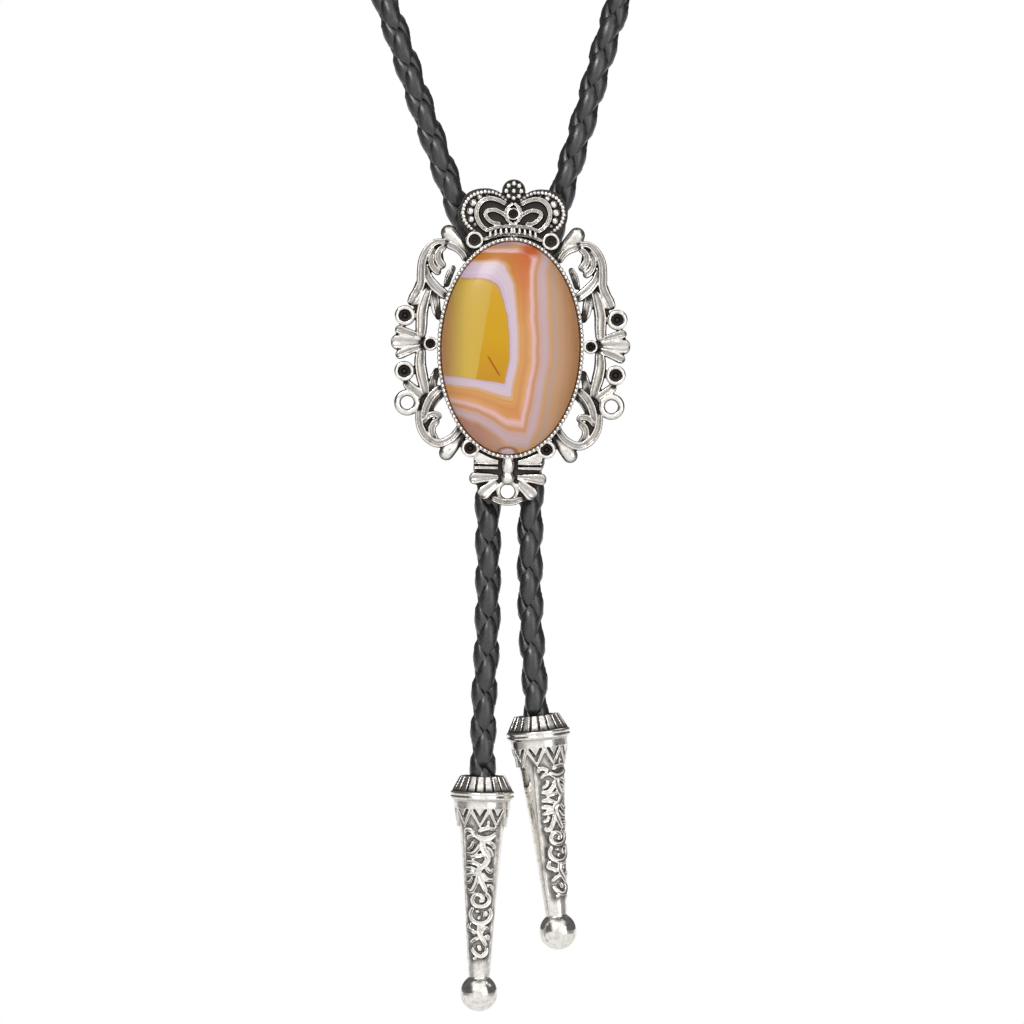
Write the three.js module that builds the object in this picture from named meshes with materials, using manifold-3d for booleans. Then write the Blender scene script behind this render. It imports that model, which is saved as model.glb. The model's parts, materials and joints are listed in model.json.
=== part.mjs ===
// A bolo tie, in millimetres: +X to the right of a front view, +Y to the wearer's back, +Z up.
// The origin is at the nape of the neck, on the side of the cord that rests there.

import * as THREE from 'three';
import * as BufferGeometryUtils from 'three/addons/utils/BufferGeometryUtils.js';
import Module from 'manifold-3d';

const wasm = await Module();
wasm.setup();

// Clearances
const seatGap = 0.3;
const cordClearance = 0.35;

// Stone
const stoneHalfWidth = 13.8;
const stoneHalfHeight = 21.2;
const stoneGirdle = 1.5;
const stoneDome = 4.4;

// Cast slide: heights run forward from its flat rear face
const trayFloor = 1.0;
const bezelWall = 0.7;
const bezelLip = 0.5;
const plateThickness = 1.4;
const ridgeHeight = 2.3;
const cupHeight = 2.8;
const cupFloor = 0.9;
const slideTilt = THREE.MathUtils.degToRad(-1.2);

// Hidden clasp behind the slide
const channelOffset = 4.8;
const channelWall = 1.1;
const claspTop = 3;
const claspLength = 16;

// Cord
const cordDiameter = 5.2;
const cordSides = 12;
const cordSteps = 80;

// Cord ends, lengths measured down from the mouth of the socket
const socketDepth = 10;
const mouthRadius = 4.3;
const collarRadius = 5.8;
const collarLength = 3.0;
const flangeRadius = 6.45;
const flangeLength = 1.7;
const cuffRadius = 5.7;
const cuffLength = 4.6;
const coneRadius = 4.6;
const coneLength = 31.3;
const neckRadius = 2.15;
const ballRadius = 3.73;
const fluteRelief = 0.35;
const pointCount = 9;
const pointLength = 1.3;
const pointRelief = 0.35;
const leafRelief = 0.6;

// Sides of round forms
const ovalSides = 56;
const domeSides = 40;
const domeRings = 6;
const postSides = 12;
const sidesInPoint = 4;
const tipSides = sidesInPoint * pointCount;
const ballRings = 6;
const leafSides = 8;
const leafRings = 4;

// Sizes that follow from the ones above
const cordRadius = cordDiameter / 2;
const boreRadius = cordRadius + cordClearance;
const channelDepth = boreRadius + channelWall;
const cordBehindSlide = seatGap + channelDepth;
const cavityHalfWidth = stoneHalfWidth + seatGap;
const cavityHalfHeight = stoneHalfHeight + seatGap;
const stoneSeat = trayFloor + seatGap;
const bezelHeight = stoneSeat + stoneGirdle + bezelLip;
const cuffStart = collarLength + flangeLength;
const coneStart = cuffStart + cuffLength;
const neckStart = coneStart + coneLength;
const ballCentre = neckStart + Math.sqrt(ballRadius ** 2 - neckRadius ** 2);
const throughCut = 1;
const tinyLength = 0.01;

function finish(color, roughness, metalness) {
  return new THREE.MeshStandardMaterial({ color, roughness, metalness });
}

// Places on the slide are shares of the stone's half width and half height
const place = ([x, y]) => new THREE.Vector2(x * stoneHalfWidth, y * stoneHalfHeight);

// Strokes of the right half: points, widths at the start, middle and end, and the height that each reaches
const scrollwork = {
  upperArm: { points: [[0.70, 0.82], [0.88, 0.92], [1.03, 0.98]], widths: [1.0, 1.2, 1.3], top: ridgeHeight },
  upperScroll: {
    points: [[1.03, 0.98], [1.17, 0.94], [1.28, 0.87], [1.30, 0.78], [1.28, 0.67], [1.27, 0.60],
      [1.33, 0.52], [1.45, 0.43], [1.54, 0.38]],
    widths: [1.3, 1.5, 1.4],
    top: ridgeHeight,
  },
  upperCurl: { points: [[1.12, 0.92], [1.20, 0.82], [1.16, 0.73], [1.05, 0.68]], widths: [0.8, 1.2, 0.9], top: plateThickness },
  upperHook: {
    points: [[1.01, 0.95], [1.08, 0.86], [1.05, 0.80], [0.96, 0.76], [0.79, 0.71]],
    widths: [1.0, 1.0, 1.6],
    top: ridgeHeight,
  },
  upperBand: { points: [[1.28, 0.76], [1.22, 0.65], [1.14, 0.55], [0.96, 0.45]], widths: [1.2, 1.4, 1.4], top: ridgeHeight },
  upperDrop: { points: [[0.62, 0.85], [0.77, 0.97], [0.94, 1.09]], widths: [0.9, 1.9, 2.4], top: ridgeHeight },
  upperBar: { points: [[1.33, 0.58], [1.28, 0.40], [1.30, 0.22], [1.31, 0.05]], widths: [1.6, 1.9, 1.9], top: ridgeHeight },
  upperLeaf: { points: [[1.17, 0.50], [1.12, 0.35], [1.03, 0.22]], widths: [1.4, 1.6, 1.0], top: plateThickness },
  lowerBar: { points: [[1.32, 0.04], [1.32, -0.03], [1.30, -0.24], [1.21, -0.47]], widths: [1.9, 1.7, 1.1], top: ridgeHeight },
  lowerLeaf: { points: [[1.03, -0.20], [1.10, -0.33], [1.14, -0.48]], widths: [1.0, 1.5, 1.2], top: plateThickness },
  ringLeaf: { points: [[1.51, -0.28], [1.39, -0.41], [1.26, -0.51]], widths: [1.2, 1.5, 1.3], top: ridgeHeight },
  lowerBand: { points: [[0.96, -0.39], [1.12, -0.48], [1.22, -0.57], [1.25, -0.69]], widths: [1.3, 1.3, 1.3], top: ridgeHeight },
  lowerScroll: {
    points: [[1.30, -0.61], [1.29, -0.73], [1.22, -0.82], [1.12, -0.89], [1.01, -0.92], [0.86, -0.87], [0.70, -0.75]],
    widths: [1.1, 1.4, 1.2],
    top: ridgeHeight,
  },
  lowerCurl: { points: [[1.23, -0.68], [1.14, -0.69], [1.05, -0.65], [0.94, -0.69]], widths: [1.0, 1.1, 0.9], top: plateThickness },
  lowerHook: { points: [[1.12, -0.75], [1.10, -0.85], [1.03, -0.91]], widths: [0.9, 1.2, 1.0], top: plateThickness },
  lowerDrop: { points: [[0.64, -0.80], [0.78, -0.92], [0.93, -1.03]], widths: [0.9, 1.8, 2.2], top: ridgeHeight },
  crownHeart: {
    points: [[0.07, 1.30], [0.22, 1.38], [0.35, 1.39], [0.47, 1.34], [0.53, 1.26], [0.49, 1.17], [0.40, 1.09]],
    widths: [0.7, 0.8, 0.8],
    top: ridgeHeight,
  },
  crownLeaf: {
    points: [[0.12, 1.23], [0.22, 1.27], [0.33, 1.29], [0.41, 1.25], [0.38, 1.19], [0.28, 1.16], [0.17, 1.17]],
    widths: [0.7, 0.9, 0.7],
    top: ridgeHeight,
  },
  crownRim: {
    points: [[0.17, 1.46], [0.46, 1.47], [0.67, 1.40], [0.76, 1.28], [0.75, 1.18], [0.67, 1.09]],
    widths: [0.7, 0.8, 0.7],
    top: ridgeHeight,
  },
  crownBand: { points: [[-0.02, 1.15], [0.27, 1.13], [0.43, 1.08]], widths: [0.6, 0.6, 0.6], top: ridgeHeight },
  bowWing: { points: [[0.07, -1.07], [0.25, -1.02], [0.41, -1.03], [0.46, -1.11]], widths: [1.8, 2.4, 2.0], top: ridgeHeight },
  bowEdge: { points: [[0.07, -1.13], [0.26, -1.12], [0.43, -1.11]], widths: [1.6, 1.2, 0.9], top: ridgeHeight },
  bowLoop: { points: [[0.07, -1.25], [0.29, -1.24], [0.49, -1.22]], widths: [1.6, 1.5, 0.9], top: ridgeHeight },
  bowTail: {
    points: [[0.12, -1.28], [0.32, -1.30], [0.38, -1.34], [0.25, -1.41], [0.12, -1.42]],
    widths: [1.2, 1.4, 1.0],
    top: ridgeHeight,
  },
};
const strokeSteps = 6;

// Round posts of the right half: place, radius, and the radius of the hollow in the cups
const cups = {
  topCup: { at: [0.55, 1.01], radius: 1.75, hollow: 1.12 },
  upperSideCup: { at: [1.54, 0.29], radius: 2.0, hollow: 1.13 },
  lowerSideCup: { at: [1.53, -0.24], radius: 1.95, hollow: 1.17 },
  middleCup: { at: [1.16, 0.03], radius: 1.5, hollow: 0.95 },
  bottomCup: { at: [0.55, -0.95], radius: 1.84, hollow: 1.1 },
};
const dropEnds = [
  { at: [0.94, 1.09], radius: 1.4 },
  { at: [0.93, -1.03], radius: 1.25 },
];
const sideRing = { at: [1.48, -0.53], radius: 2.6, hollow: 1.38 };
const bowRing = { at: [0, -1.35], radius: 2.6, hollow: 1.42 };
const crownHoles = [
  { at: [0.44, 1.21], radius: 0.5 },
  { at: [0.14, 1.32], radius: 0.45 },
];

// Fan at the side: three lobes out of one root
const fanRoot = [1.33, 0.04];
const fanRootWidth = 1.2;
const fanLobes = [
  { at: [1.62, 0.15], radius: 1.15 },
  { at: [1.64, 0.04], radius: 1.2 },
  { at: [1.62, -0.08], radius: 1.1 },
];

// Crown above the stone, outline of its right half, its knob, and the cup in its middle
const crownOutline = [[0, 1.0], [0.36, 0.95], [0.59, 0.88], [0.70, 1.08], [0.80, 1.19], [0.81, 1.27], [0.77, 1.37],
  [0.65, 1.46], [0.46, 1.50], [0.30, 1.49], [0.17, 1.44]];
const crownKnob = { at: [0, 1.48], radius: 2.4, bead: 1.1, rise: 0.4 };
const crownCup = { at: [0, 1.27], radius: 1.4, hollow: 0.9 };

// Barrel of the bow, half width and half height in millimetres
const bowBarrel = { at: [0, -1.15], halfWidth: 1.3, halfHeight: 2.9 };

// Leaves on the cone: place down the cone from 0 to 1, angle round it, lean, and share of the full size
const tipLeaves = [
  { down: 0.10, round: -30, lean: 30, size: 1.0 },
  { down: 0.14, round: 25, lean: -35, size: 1.0 },
  { down: 0.27, round: -5, lean: 50, size: 0.9 },
  { down: 0.36, round: 32, lean: -25, size: 0.9 },
  { down: 0.42, round: -32, lean: 30, size: 0.9 },
  { down: 0.54, round: 5, lean: -45, size: 0.8 },
  { down: 0.64, round: 34, lean: 25, size: 0.75 },
  { down: 0.68, round: -28, lean: -30, size: 0.75 },
  { down: 0.80, round: 4, lean: 20, size: 0.65 },
];
const leafHalfLength = 3.0;
const leafHalfWidth = 1.15;

// Where each cord end hangs: the mouth of its socket, from the middle of the stone, and its lean
const tipPlaces = {
  tip_left: { mouth: [-5.6, -85.7], lean: THREE.MathUtils.degToRad(1.0) },
  tip_right: { mouth: [5.2, -73.5], lean: THREE.MathUtils.degToRad(-5.7) },
};

// Route of the cord outside the clasp and the sockets, from the middle of the stone, in millimetres
const leftTail = [[-4.6, 4.3, -30], [-4.5, 4.3, -45], [-4.7, 4.3, -58], [-5.3, 4.3, -70]];
const rightTail = [[4.1, 4.3, -30], [3.9, 4.3, -45], [4.2, 4.3, -57], [4.8, 4.3, -66]];
const leftNeck = [[-6.4, 4.3, 16], [-9.9, 4.3, 26.5], [-17.0, 4.4, 46.2], [-25.0, 5.8, 69.7], [-35.4, 11, 99],
  [-46.0, 20, 129], [-55.8, 34, 158], [-62.8, 54, 184], [-64.5, 79, 206], [-57.5, 105, 223], [-41.5, 127, 236],
  [-21.5, 140, 243.5]];
const nape = [0, 144.5, 246];
const rightNeck = [[21.5, 140, 243.5], [41.5, 127, 236], [57.5, 105, 223], [64.5, 79, 206], [62.0, 54, 184],
  [53.6, 34, 158], [42.9, 20, 129], [32.2, 11, 99], [21.6, 5.8, 69.7], [14.4, 4.4, 45], [9.4, 4.3, 28], [6.4, 4.3, 16]];

// Closed mesh to solid and back
function toSolid(geometry) {
  const plain = geometry.clone();
  plain.deleteAttribute('normal');
  plain.deleteAttribute('uv');
  const merged = BufferGeometryUtils.mergeVertices(plain, 1e-4);
  return new wasm.Manifold(new wasm.Mesh({
    numProp: 3,
    vertProperties: new Float32Array(merged.attributes.position.array),
    triVerts: new Uint32Array(merged.index.array),
  }));
}

function toGeometry(solid) {
  const mesh = solid.getMesh();
  const geometry = new THREE.BufferGeometry();
  geometry.setAttribute('position', new THREE.BufferAttribute(mesh.vertProperties.slice(), 3));
  geometry.setIndex(new THREE.BufferAttribute(mesh.triVerts.slice(), 1));
  geometry.computeVertexNormals();
  return geometry;
}

const join = (solids) => solids.reduce((whole, next) => whole.add(next));
const cut = (solid, cutters) => cutters.reduce((rest, next) => rest.subtract(next), solid);

// The left half's copy of a right half's form, with its faces turned to point outwards again
function mirrored(geometry) {
  const copy = BufferGeometryUtils.mergeVertices(geometry.clone().scale(-1, 1, 1));
  const order = copy.index.array;
  for (let i = 0; i < order.length; i += 3) {
    [order[i + 1], order[i + 2]] = [order[i + 2], order[i + 1]];
  }
  return copy;
}

function prism(outline, bottom, top) {
  const shape = outline instanceof THREE.Shape ? outline : new THREE.Shape(outline);
  const geometry = new THREE.ExtrudeGeometry(shape, { depth: top - bottom, bevelEnabled: false });
  return geometry.translate(0, 0, bottom);
}

function oval(halfWidth, halfHeight, centre = new THREE.Vector2(), sides = ovalSides) {
  const points = [];
  for (let i = 0; i < sides; i += 1) {
    const angle = (2 * Math.PI * i) / sides;
    points.push(new THREE.Vector2(halfWidth * Math.cos(angle), halfHeight * Math.sin(angle)).add(centre));
  }
  return points;
}

function post(at, radius, bottom, top) {
  return prism(oval(radius, radius, place(at), postSides), bottom, top);
}

// A stroke is a band along a smooth line that widens or narrows from its ends to its middle
function stroke({ points, widths: [first, middle, last], top }) {
  const line = new THREE.SplineCurve(points.map(place));
  const left = [];
  const right = [];
  for (let i = 0; i <= strokeSteps; i += 1) {
    const t = i / strokeSteps;
    const end = THREE.MathUtils.lerp(first, last, t);
    const width = end + (middle - (first + last) / 2) * Math.sin(Math.PI * t);
    const along = line.getTangent(t);
    const across = new THREE.Vector2(-along.y, along.x).multiplyScalar(width / 2);
    left.push(line.getPoint(t).add(across));
    right.push(line.getPoint(t).sub(across));
  }
  return prism([...right, ...left.reverse()], 0, top);
}

function fanParts() {
  return fanLobes.flatMap((lobe) => [
    stroke({ points: [fanRoot, lobe.at], widths: [fanRootWidth, lobe.radius * 1.6, lobe.radius * 2], top: ridgeHeight }),
    post(lobe.at, lobe.radius, 0, ridgeHeight),
  ]);
}

function makeSetting() {
  const half = [
    ...Object.values(scrollwork).map(stroke),
    ...fanParts(),
    ...Object.values(cups).map((cup) => post(cup.at, cup.radius, 0, cupHeight)),
    ...dropEnds.map((end) => post(end.at, end.radius, 0, ridgeHeight)),
    post(sideRing.at, sideRing.radius, 0, ridgeHeight),
  ];
  const crownLeftHalf = crownOutline.slice(1).reverse().map(([x, y]) => [-x, y]);
  const middle = [
    prism(oval(cavityHalfWidth + bezelWall, cavityHalfHeight + bezelWall), 0, bezelHeight),
    prism([...crownOutline, ...crownLeftHalf].map(place), 0, plateThickness),
    post(crownKnob.at, crownKnob.radius, 0, ridgeHeight),
    post(crownKnob.at, crownKnob.bead, 0, ridgeHeight + crownKnob.rise),
    post(crownCup.at, crownCup.radius, 0, cupHeight),
    post(bowRing.at, bowRing.radius, 0, ridgeHeight),
    prism(oval(bowBarrel.halfWidth, bowBarrel.halfHeight, place(bowBarrel.at), postSides), 0, cupHeight),
  ];
  const halfCuts = [
    ...Object.values(cups).map((cup) => post(cup.at, cup.hollow, cupFloor, cupHeight + throughCut)),
    ...[sideRing, ...crownHoles].map((hole) => (
      post(hole.at, hole.hollow ?? hole.radius, -throughCut, ridgeHeight + throughCut))),
  ];
  const middleCuts = [
    prism(oval(cavityHalfWidth, cavityHalfHeight), trayFloor, bezelHeight + throughCut),
    post(crownCup.at, crownCup.hollow, cupFloor, cupHeight + throughCut),
    post(bowRing.at, bowRing.hollow, -throughCut, cupHeight + throughCut),
  ];
  const bodies = [...middle, ...half, ...half.map(mirrored)].map(toSolid);
  return toGeometry(cut(join(bodies), [...middleCuts, ...halfCuts, ...halfCuts.map(mirrored)].map(toSolid)));
}

// Domed oval stone: a straight girdle and a quarter-round dome, turned and then widened to the oval
function makeCabochon() {
  const profile = [new THREE.Vector2(0, 0), new THREE.Vector2(1, 0)];
  for (let i = 0; i < domeRings; i += 1) {
    const angle = (Math.PI / 2) * (i / domeRings);
    profile.push(new THREE.Vector2(Math.cos(angle), stoneGirdle + stoneDome * Math.sin(angle)));
  }
  profile.push(new THREE.Vector2(0, stoneGirdle + stoneDome));
  const turned = new THREE.LatheGeometry(profile, domeSides).rotateX(Math.PI / 2);
  return toGeometry(toSolid(turned.scale(stoneHalfWidth, stoneHalfHeight, 1)));
}

// Clasp: a block with round sides and two channels, drawn in plan and raised along Z
function makeClasp() {
  const block = new THREE.Shape();
  block.absarc(channelOffset, 0, channelDepth, -Math.PI / 2, Math.PI / 2);
  block.absarc(-channelOffset, 0, channelDepth, Math.PI / 2, 1.5 * Math.PI);
  for (const side of [-1, 1]) {
    const channel = new THREE.Path();
    channel.absarc(side * channelOffset, 0, boreRadius, 0, 2 * Math.PI, true);
    block.holes.push(channel);
  }
  return toGeometry(toSolid(prism(block, claspTop - claspLength, claspTop)));
}

function tipBody() {
  const profile = [[0, -ballCentre - ballRadius]];
  const neckAngle = Math.PI - Math.asin(neckRadius / ballRadius);
  for (let i = 1; i < ballRings; i += 1) {
    const angle = (neckAngle * i) / ballRings;
    profile.push([ballRadius * Math.sin(angle), -ballCentre - ballRadius * Math.cos(angle)]);
  }
  profile.push(
    [neckRadius, -neckStart],
    [THREE.MathUtils.lerp(coneRadius, neckRadius, 0.55), -coneStart - coneLength / 2],
    [coneRadius, -coneStart],
    [cuffRadius - pointRelief, -coneStart],
    [cuffRadius, -cuffStart],
    [flangeRadius, -cuffStart],
    [flangeRadius, -collarLength],
    [collarRadius, -collarLength],
    [mouthRadius, 0],
    [0, 0],
  );
  return new THREE.LatheGeometry(profile.map(([r, y]) => new THREE.Vector2(r, y)), tipSides).rotateX(Math.PI / 2);
}

// Flutes alternate the collar's radius, and the cuff's lower edge runs down into points
function addFlutesAndPoints(turned) {
  const position = turned.attributes.position;
  for (let i = 0; i < position.count; i += 1) {
    const [x, y, z] = [position.getX(i), position.getY(i), position.getZ(i)];
    const radius = Math.hypot(x, y);
    const side = Math.round((Math.atan2(y, x) / (2 * Math.PI)) * tipSides + tipSides) % tipSides;
    const inCollar = z > -collarLength - tinyLength && radius > tinyLength && radius < flangeRadius - tinyLength;
    const atPoints = Math.abs(z + coneStart) < tinyLength;
    if (inCollar && side % 2 === 1) {
      const share = 1 - fluteRelief / radius;
      position.setXYZ(i, x * share, y * share, z);
    }
    if (atPoints) {
      const fromPoint = Math.abs(sidesInPoint / 2 - (side % sidesInPoint)) / (sidesInPoint / 2);
      position.setZ(i, z - pointLength * (1 - fromPoint));
    }
  }
  return turned;
}

function leaves() {
  return tipLeaves.map((leaf) => {
    const radius = THREE.MathUtils.lerp(coneRadius, neckRadius, leaf.down) - 0.1;
    const blade = new THREE.SphereGeometry(1, leafSides, leafRings);
    blade.scale(leafHalfWidth * leaf.size, leafRelief, leafHalfLength * leaf.size);
    blade.rotateY(THREE.MathUtils.degToRad(leaf.lean)).translate(0, -radius, 0);
    blade.rotateZ(THREE.MathUtils.degToRad(leaf.round));
    return blade.translate(0, 0, -coneStart - coneLength * leaf.down);
  });
}

function makeTip() {
  const socket = new THREE.CylinderGeometry(boreRadius, boreRadius, socketDepth + throughCut, tipSides);
  socket.rotateX(Math.PI / 2).translate(0, 0, (throughCut - socketDepth) / 2);
  const bodies = [addFlutesAndPoints(tipBody()), ...leaves()].map(toSolid);
  return toGeometry(cut(join(bodies), [toSolid(socket)]));
}

// Points of the cord inside the clasp's channel on one side, which turns with the slide
function channelRoute(side) {
  return [claspTop, claspTop - claspLength / 2, claspTop - claspLength].map((height) => {
    const at = new THREE.Vector2(side * channelOffset, height).rotateAround(new THREE.Vector2(), slideTilt);
    return [at.x, cordBehindSlide, at.y];
  });
}

// Points of the cord inside a socket, along the axis of the cord end
function socketRoute({ mouth: [x, z], lean }) {
  return [0, 0.5, 1].map((share) => {
    const depth = share * (socketDepth - seatGap);
    return [x - depth * Math.sin(lean), cordBehindSlide, z - depth * Math.cos(lean)];
  });
}

function cordRoute() {
  return [
    ...socketRoute(tipPlaces.tip_left).reverse(), ...leftTail.slice().reverse(),
    ...channelRoute(-1).reverse(), ...leftNeck, nape, ...rightNeck,
    ...channelRoute(1), ...rightTail, ...socketRoute(tipPlaces.tip_right),
  ].map(([x, y, z]) => new THREE.Vector3(x, y, z));
}

function makeCord() {
  const section = new THREE.Shape(oval(cordRadius, cordRadius, new THREE.Vector2(), cordSides));
  const path = new THREE.CatmullRomCurve3(cordRoute(), false, 'centripetal');
  const tube = new THREE.ExtrudeGeometry(section, { steps: cordSteps, bevelEnabled: false, extrudePath: path });
  return toGeometry(toSolid(tube));
}

function piece(name, geometry, material) {
  const mesh = new THREE.Mesh(geometry, material);
  mesh.name = name;
  return mesh;
}

const silver = finish(0xb4b2ad, 0.38, 1);

// The slide is drawn flat with its front upwards, and stands up with its front towards -Y
const slide = new THREE.Group();
const cabochon = piece('cabochon', makeCabochon(), finish(0xb98f6a, 0.15, 0));
cabochon.position.z = stoneSeat;
slide.add(piece('setting', makeSetting(), silver), cabochon);
slide.rotation.set(Math.PI / 2, 0, 0);
slide.children.forEach((child) => child.rotateZ(slideTilt));

const clasp = piece('slide_back', makeClasp(), finish(0x9d9a95, 0.42, 1));
clasp.position.y = cordBehindSlide;
clasp.rotation.y = -slideTilt;

const tie = new THREE.Group();
tie.add(slide, clasp, piece('cord', makeCord(), finish(0x2c2a2c, 0.55, 0)));
for (const [name, { mouth: [x, z], lean }] of Object.entries(tipPlaces)) {
  const tip = piece(name, makeTip(), silver);
  tip.position.set(x, cordBehindSlide, z);
  tip.rotation.y = lean;
  tie.add(tip);
}
tie.position.set(-nape[0], cordRadius - nape[1], -nape[2]);

const boloTie = new THREE.Group();
boloTie.add(tie);

export default boloTie;
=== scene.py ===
"""A bolo tie: a cast, pierced slide with an agate, on a braided leather cord with two cone tips."""

import json
import logging
import math
from collections.abc import Callable, Iterator
from contextlib import contextmanager
from dataclasses import dataclass, field
from enum import Enum

import bpy
from mathutils import Matrix, Vector
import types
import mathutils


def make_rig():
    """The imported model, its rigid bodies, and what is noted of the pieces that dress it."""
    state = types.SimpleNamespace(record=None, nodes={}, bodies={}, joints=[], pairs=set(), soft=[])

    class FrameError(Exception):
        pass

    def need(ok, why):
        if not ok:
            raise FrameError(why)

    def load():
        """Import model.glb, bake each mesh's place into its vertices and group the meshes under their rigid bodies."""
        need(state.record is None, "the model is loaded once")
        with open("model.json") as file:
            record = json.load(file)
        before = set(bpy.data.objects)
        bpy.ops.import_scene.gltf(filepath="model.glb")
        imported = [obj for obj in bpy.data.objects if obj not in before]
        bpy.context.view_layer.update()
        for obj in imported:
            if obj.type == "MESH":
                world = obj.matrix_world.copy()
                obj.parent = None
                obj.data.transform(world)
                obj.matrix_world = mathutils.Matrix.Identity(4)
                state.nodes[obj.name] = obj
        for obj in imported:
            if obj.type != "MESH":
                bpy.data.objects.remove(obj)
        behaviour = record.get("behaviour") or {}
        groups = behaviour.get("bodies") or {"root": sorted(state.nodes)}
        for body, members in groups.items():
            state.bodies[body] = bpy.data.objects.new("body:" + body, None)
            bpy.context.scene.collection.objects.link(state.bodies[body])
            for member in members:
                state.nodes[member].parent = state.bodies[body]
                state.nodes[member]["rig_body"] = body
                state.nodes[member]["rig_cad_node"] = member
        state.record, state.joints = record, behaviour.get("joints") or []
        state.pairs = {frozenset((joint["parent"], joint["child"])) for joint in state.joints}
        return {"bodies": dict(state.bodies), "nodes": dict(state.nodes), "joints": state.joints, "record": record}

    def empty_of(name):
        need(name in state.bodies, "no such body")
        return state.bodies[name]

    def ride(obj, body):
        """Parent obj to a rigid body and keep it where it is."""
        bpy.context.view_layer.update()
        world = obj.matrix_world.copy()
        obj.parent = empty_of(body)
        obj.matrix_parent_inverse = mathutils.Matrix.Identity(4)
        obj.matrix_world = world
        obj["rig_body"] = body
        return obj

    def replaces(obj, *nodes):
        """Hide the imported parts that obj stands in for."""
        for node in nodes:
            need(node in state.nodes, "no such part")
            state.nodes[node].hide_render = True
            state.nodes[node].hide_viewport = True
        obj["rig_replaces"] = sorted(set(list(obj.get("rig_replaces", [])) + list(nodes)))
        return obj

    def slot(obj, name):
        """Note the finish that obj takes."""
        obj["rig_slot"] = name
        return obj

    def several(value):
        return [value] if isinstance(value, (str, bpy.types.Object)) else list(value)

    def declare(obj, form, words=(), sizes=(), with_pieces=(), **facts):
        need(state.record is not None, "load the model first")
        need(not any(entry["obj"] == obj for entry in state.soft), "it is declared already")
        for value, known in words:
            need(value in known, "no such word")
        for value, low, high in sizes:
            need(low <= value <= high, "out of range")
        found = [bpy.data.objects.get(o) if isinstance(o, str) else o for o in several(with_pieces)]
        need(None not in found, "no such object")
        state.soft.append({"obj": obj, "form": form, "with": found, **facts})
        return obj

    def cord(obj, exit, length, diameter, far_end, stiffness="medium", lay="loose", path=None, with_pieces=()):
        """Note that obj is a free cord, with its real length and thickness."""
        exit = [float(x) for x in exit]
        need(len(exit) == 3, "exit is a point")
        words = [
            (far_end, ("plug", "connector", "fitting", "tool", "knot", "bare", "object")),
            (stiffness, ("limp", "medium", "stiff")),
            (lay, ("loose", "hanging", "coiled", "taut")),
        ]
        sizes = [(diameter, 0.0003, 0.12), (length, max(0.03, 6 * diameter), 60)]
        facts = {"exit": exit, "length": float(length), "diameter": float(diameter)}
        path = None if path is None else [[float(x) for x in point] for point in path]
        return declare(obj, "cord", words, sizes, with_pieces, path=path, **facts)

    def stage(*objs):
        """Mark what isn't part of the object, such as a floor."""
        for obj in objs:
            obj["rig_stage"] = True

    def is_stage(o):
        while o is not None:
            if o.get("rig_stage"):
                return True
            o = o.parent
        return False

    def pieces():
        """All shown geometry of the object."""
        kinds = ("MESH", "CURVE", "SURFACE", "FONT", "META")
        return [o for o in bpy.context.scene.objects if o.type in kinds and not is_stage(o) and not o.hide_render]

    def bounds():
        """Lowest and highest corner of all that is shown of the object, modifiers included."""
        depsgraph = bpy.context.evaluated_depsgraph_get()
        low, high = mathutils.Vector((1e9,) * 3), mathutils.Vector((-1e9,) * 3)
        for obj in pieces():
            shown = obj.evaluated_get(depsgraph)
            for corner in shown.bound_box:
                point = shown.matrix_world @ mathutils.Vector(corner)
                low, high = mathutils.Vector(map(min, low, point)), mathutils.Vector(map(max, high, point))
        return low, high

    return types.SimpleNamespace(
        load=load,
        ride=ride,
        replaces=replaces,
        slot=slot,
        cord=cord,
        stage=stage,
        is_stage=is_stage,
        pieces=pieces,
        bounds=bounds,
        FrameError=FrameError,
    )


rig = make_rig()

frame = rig.load()
cad_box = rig.bounds()

logging.basicConfig(level=logging.INFO, format="%(levelname)s %(message)s")
log = logging.getLogger("bolo_tie")

MM = 0.001
Point2 = tuple[float, float]
Point3 = tuple[float, float, float]

# The photograph's frame, as real lengths at the slide
FRAME_WIDTH = 204.8 * MM
FRAME_CENTRE = (0.3 * MM, -32.7 * MM)

# Places that the cord's route and the slide share with the CAD, from the nape
STONE_CENTRE = Vector((0.0, -141.9, -246.0)) * MM
SLIDE_TILT = math.radians(-1.2)


class Level(Enum):
    """How high a stroke of the casting stands over its rear face, in metres."""

    LOW = 1.35 * MM
    MIDDLE = 1.9 * MM
    HIGH = 2.35 * MM
    TOP = 2.75 * MM


def deselect() -> None:
    """Leaves object mode and selects nothing."""
    if bpy.context.mode != "OBJECT":
        bpy.ops.object.mode_set(mode="OBJECT")
    bpy.ops.object.select_all(action="DESELECT")


def activate(piece: bpy.types.Object) -> None:
    """Selects one object alone and makes it active."""
    deselect()
    piece.select_set(True)
    bpy.context.view_layer.objects.active = piece


def merge(parts: list[bpy.types.Object], name: str) -> bpy.types.Object:
    """Joins objects into one mesh.

    Args:
        parts: the objects, all meshes.
        name: the name of the joined object.

    Returns:
        The joined object.
    """
    activate(parts[0])
    for part in parts[1:]:
        part.select_set(True)
    bpy.ops.object.join()
    joined = bpy.context.view_layer.objects.active
    joined.name = joined.data.name = name
    return joined


def copy_of(piece: bpy.types.Object, name: str) -> bpy.types.Object:
    """A copy of a piece with a mesh of its own."""
    twin = piece.copy()
    twin.data = piece.data.copy()
    twin.name = twin.data.name = name
    bpy.context.collection.objects.link(twin)
    return twin


def new_piece(name: str, data: bpy.types.ID) -> bpy.types.Object:
    """Puts a mesh or curve into the scene as an object of the same name."""
    piece = bpy.data.objects.new(name, data)
    bpy.context.collection.objects.link(piece)
    return piece


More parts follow.
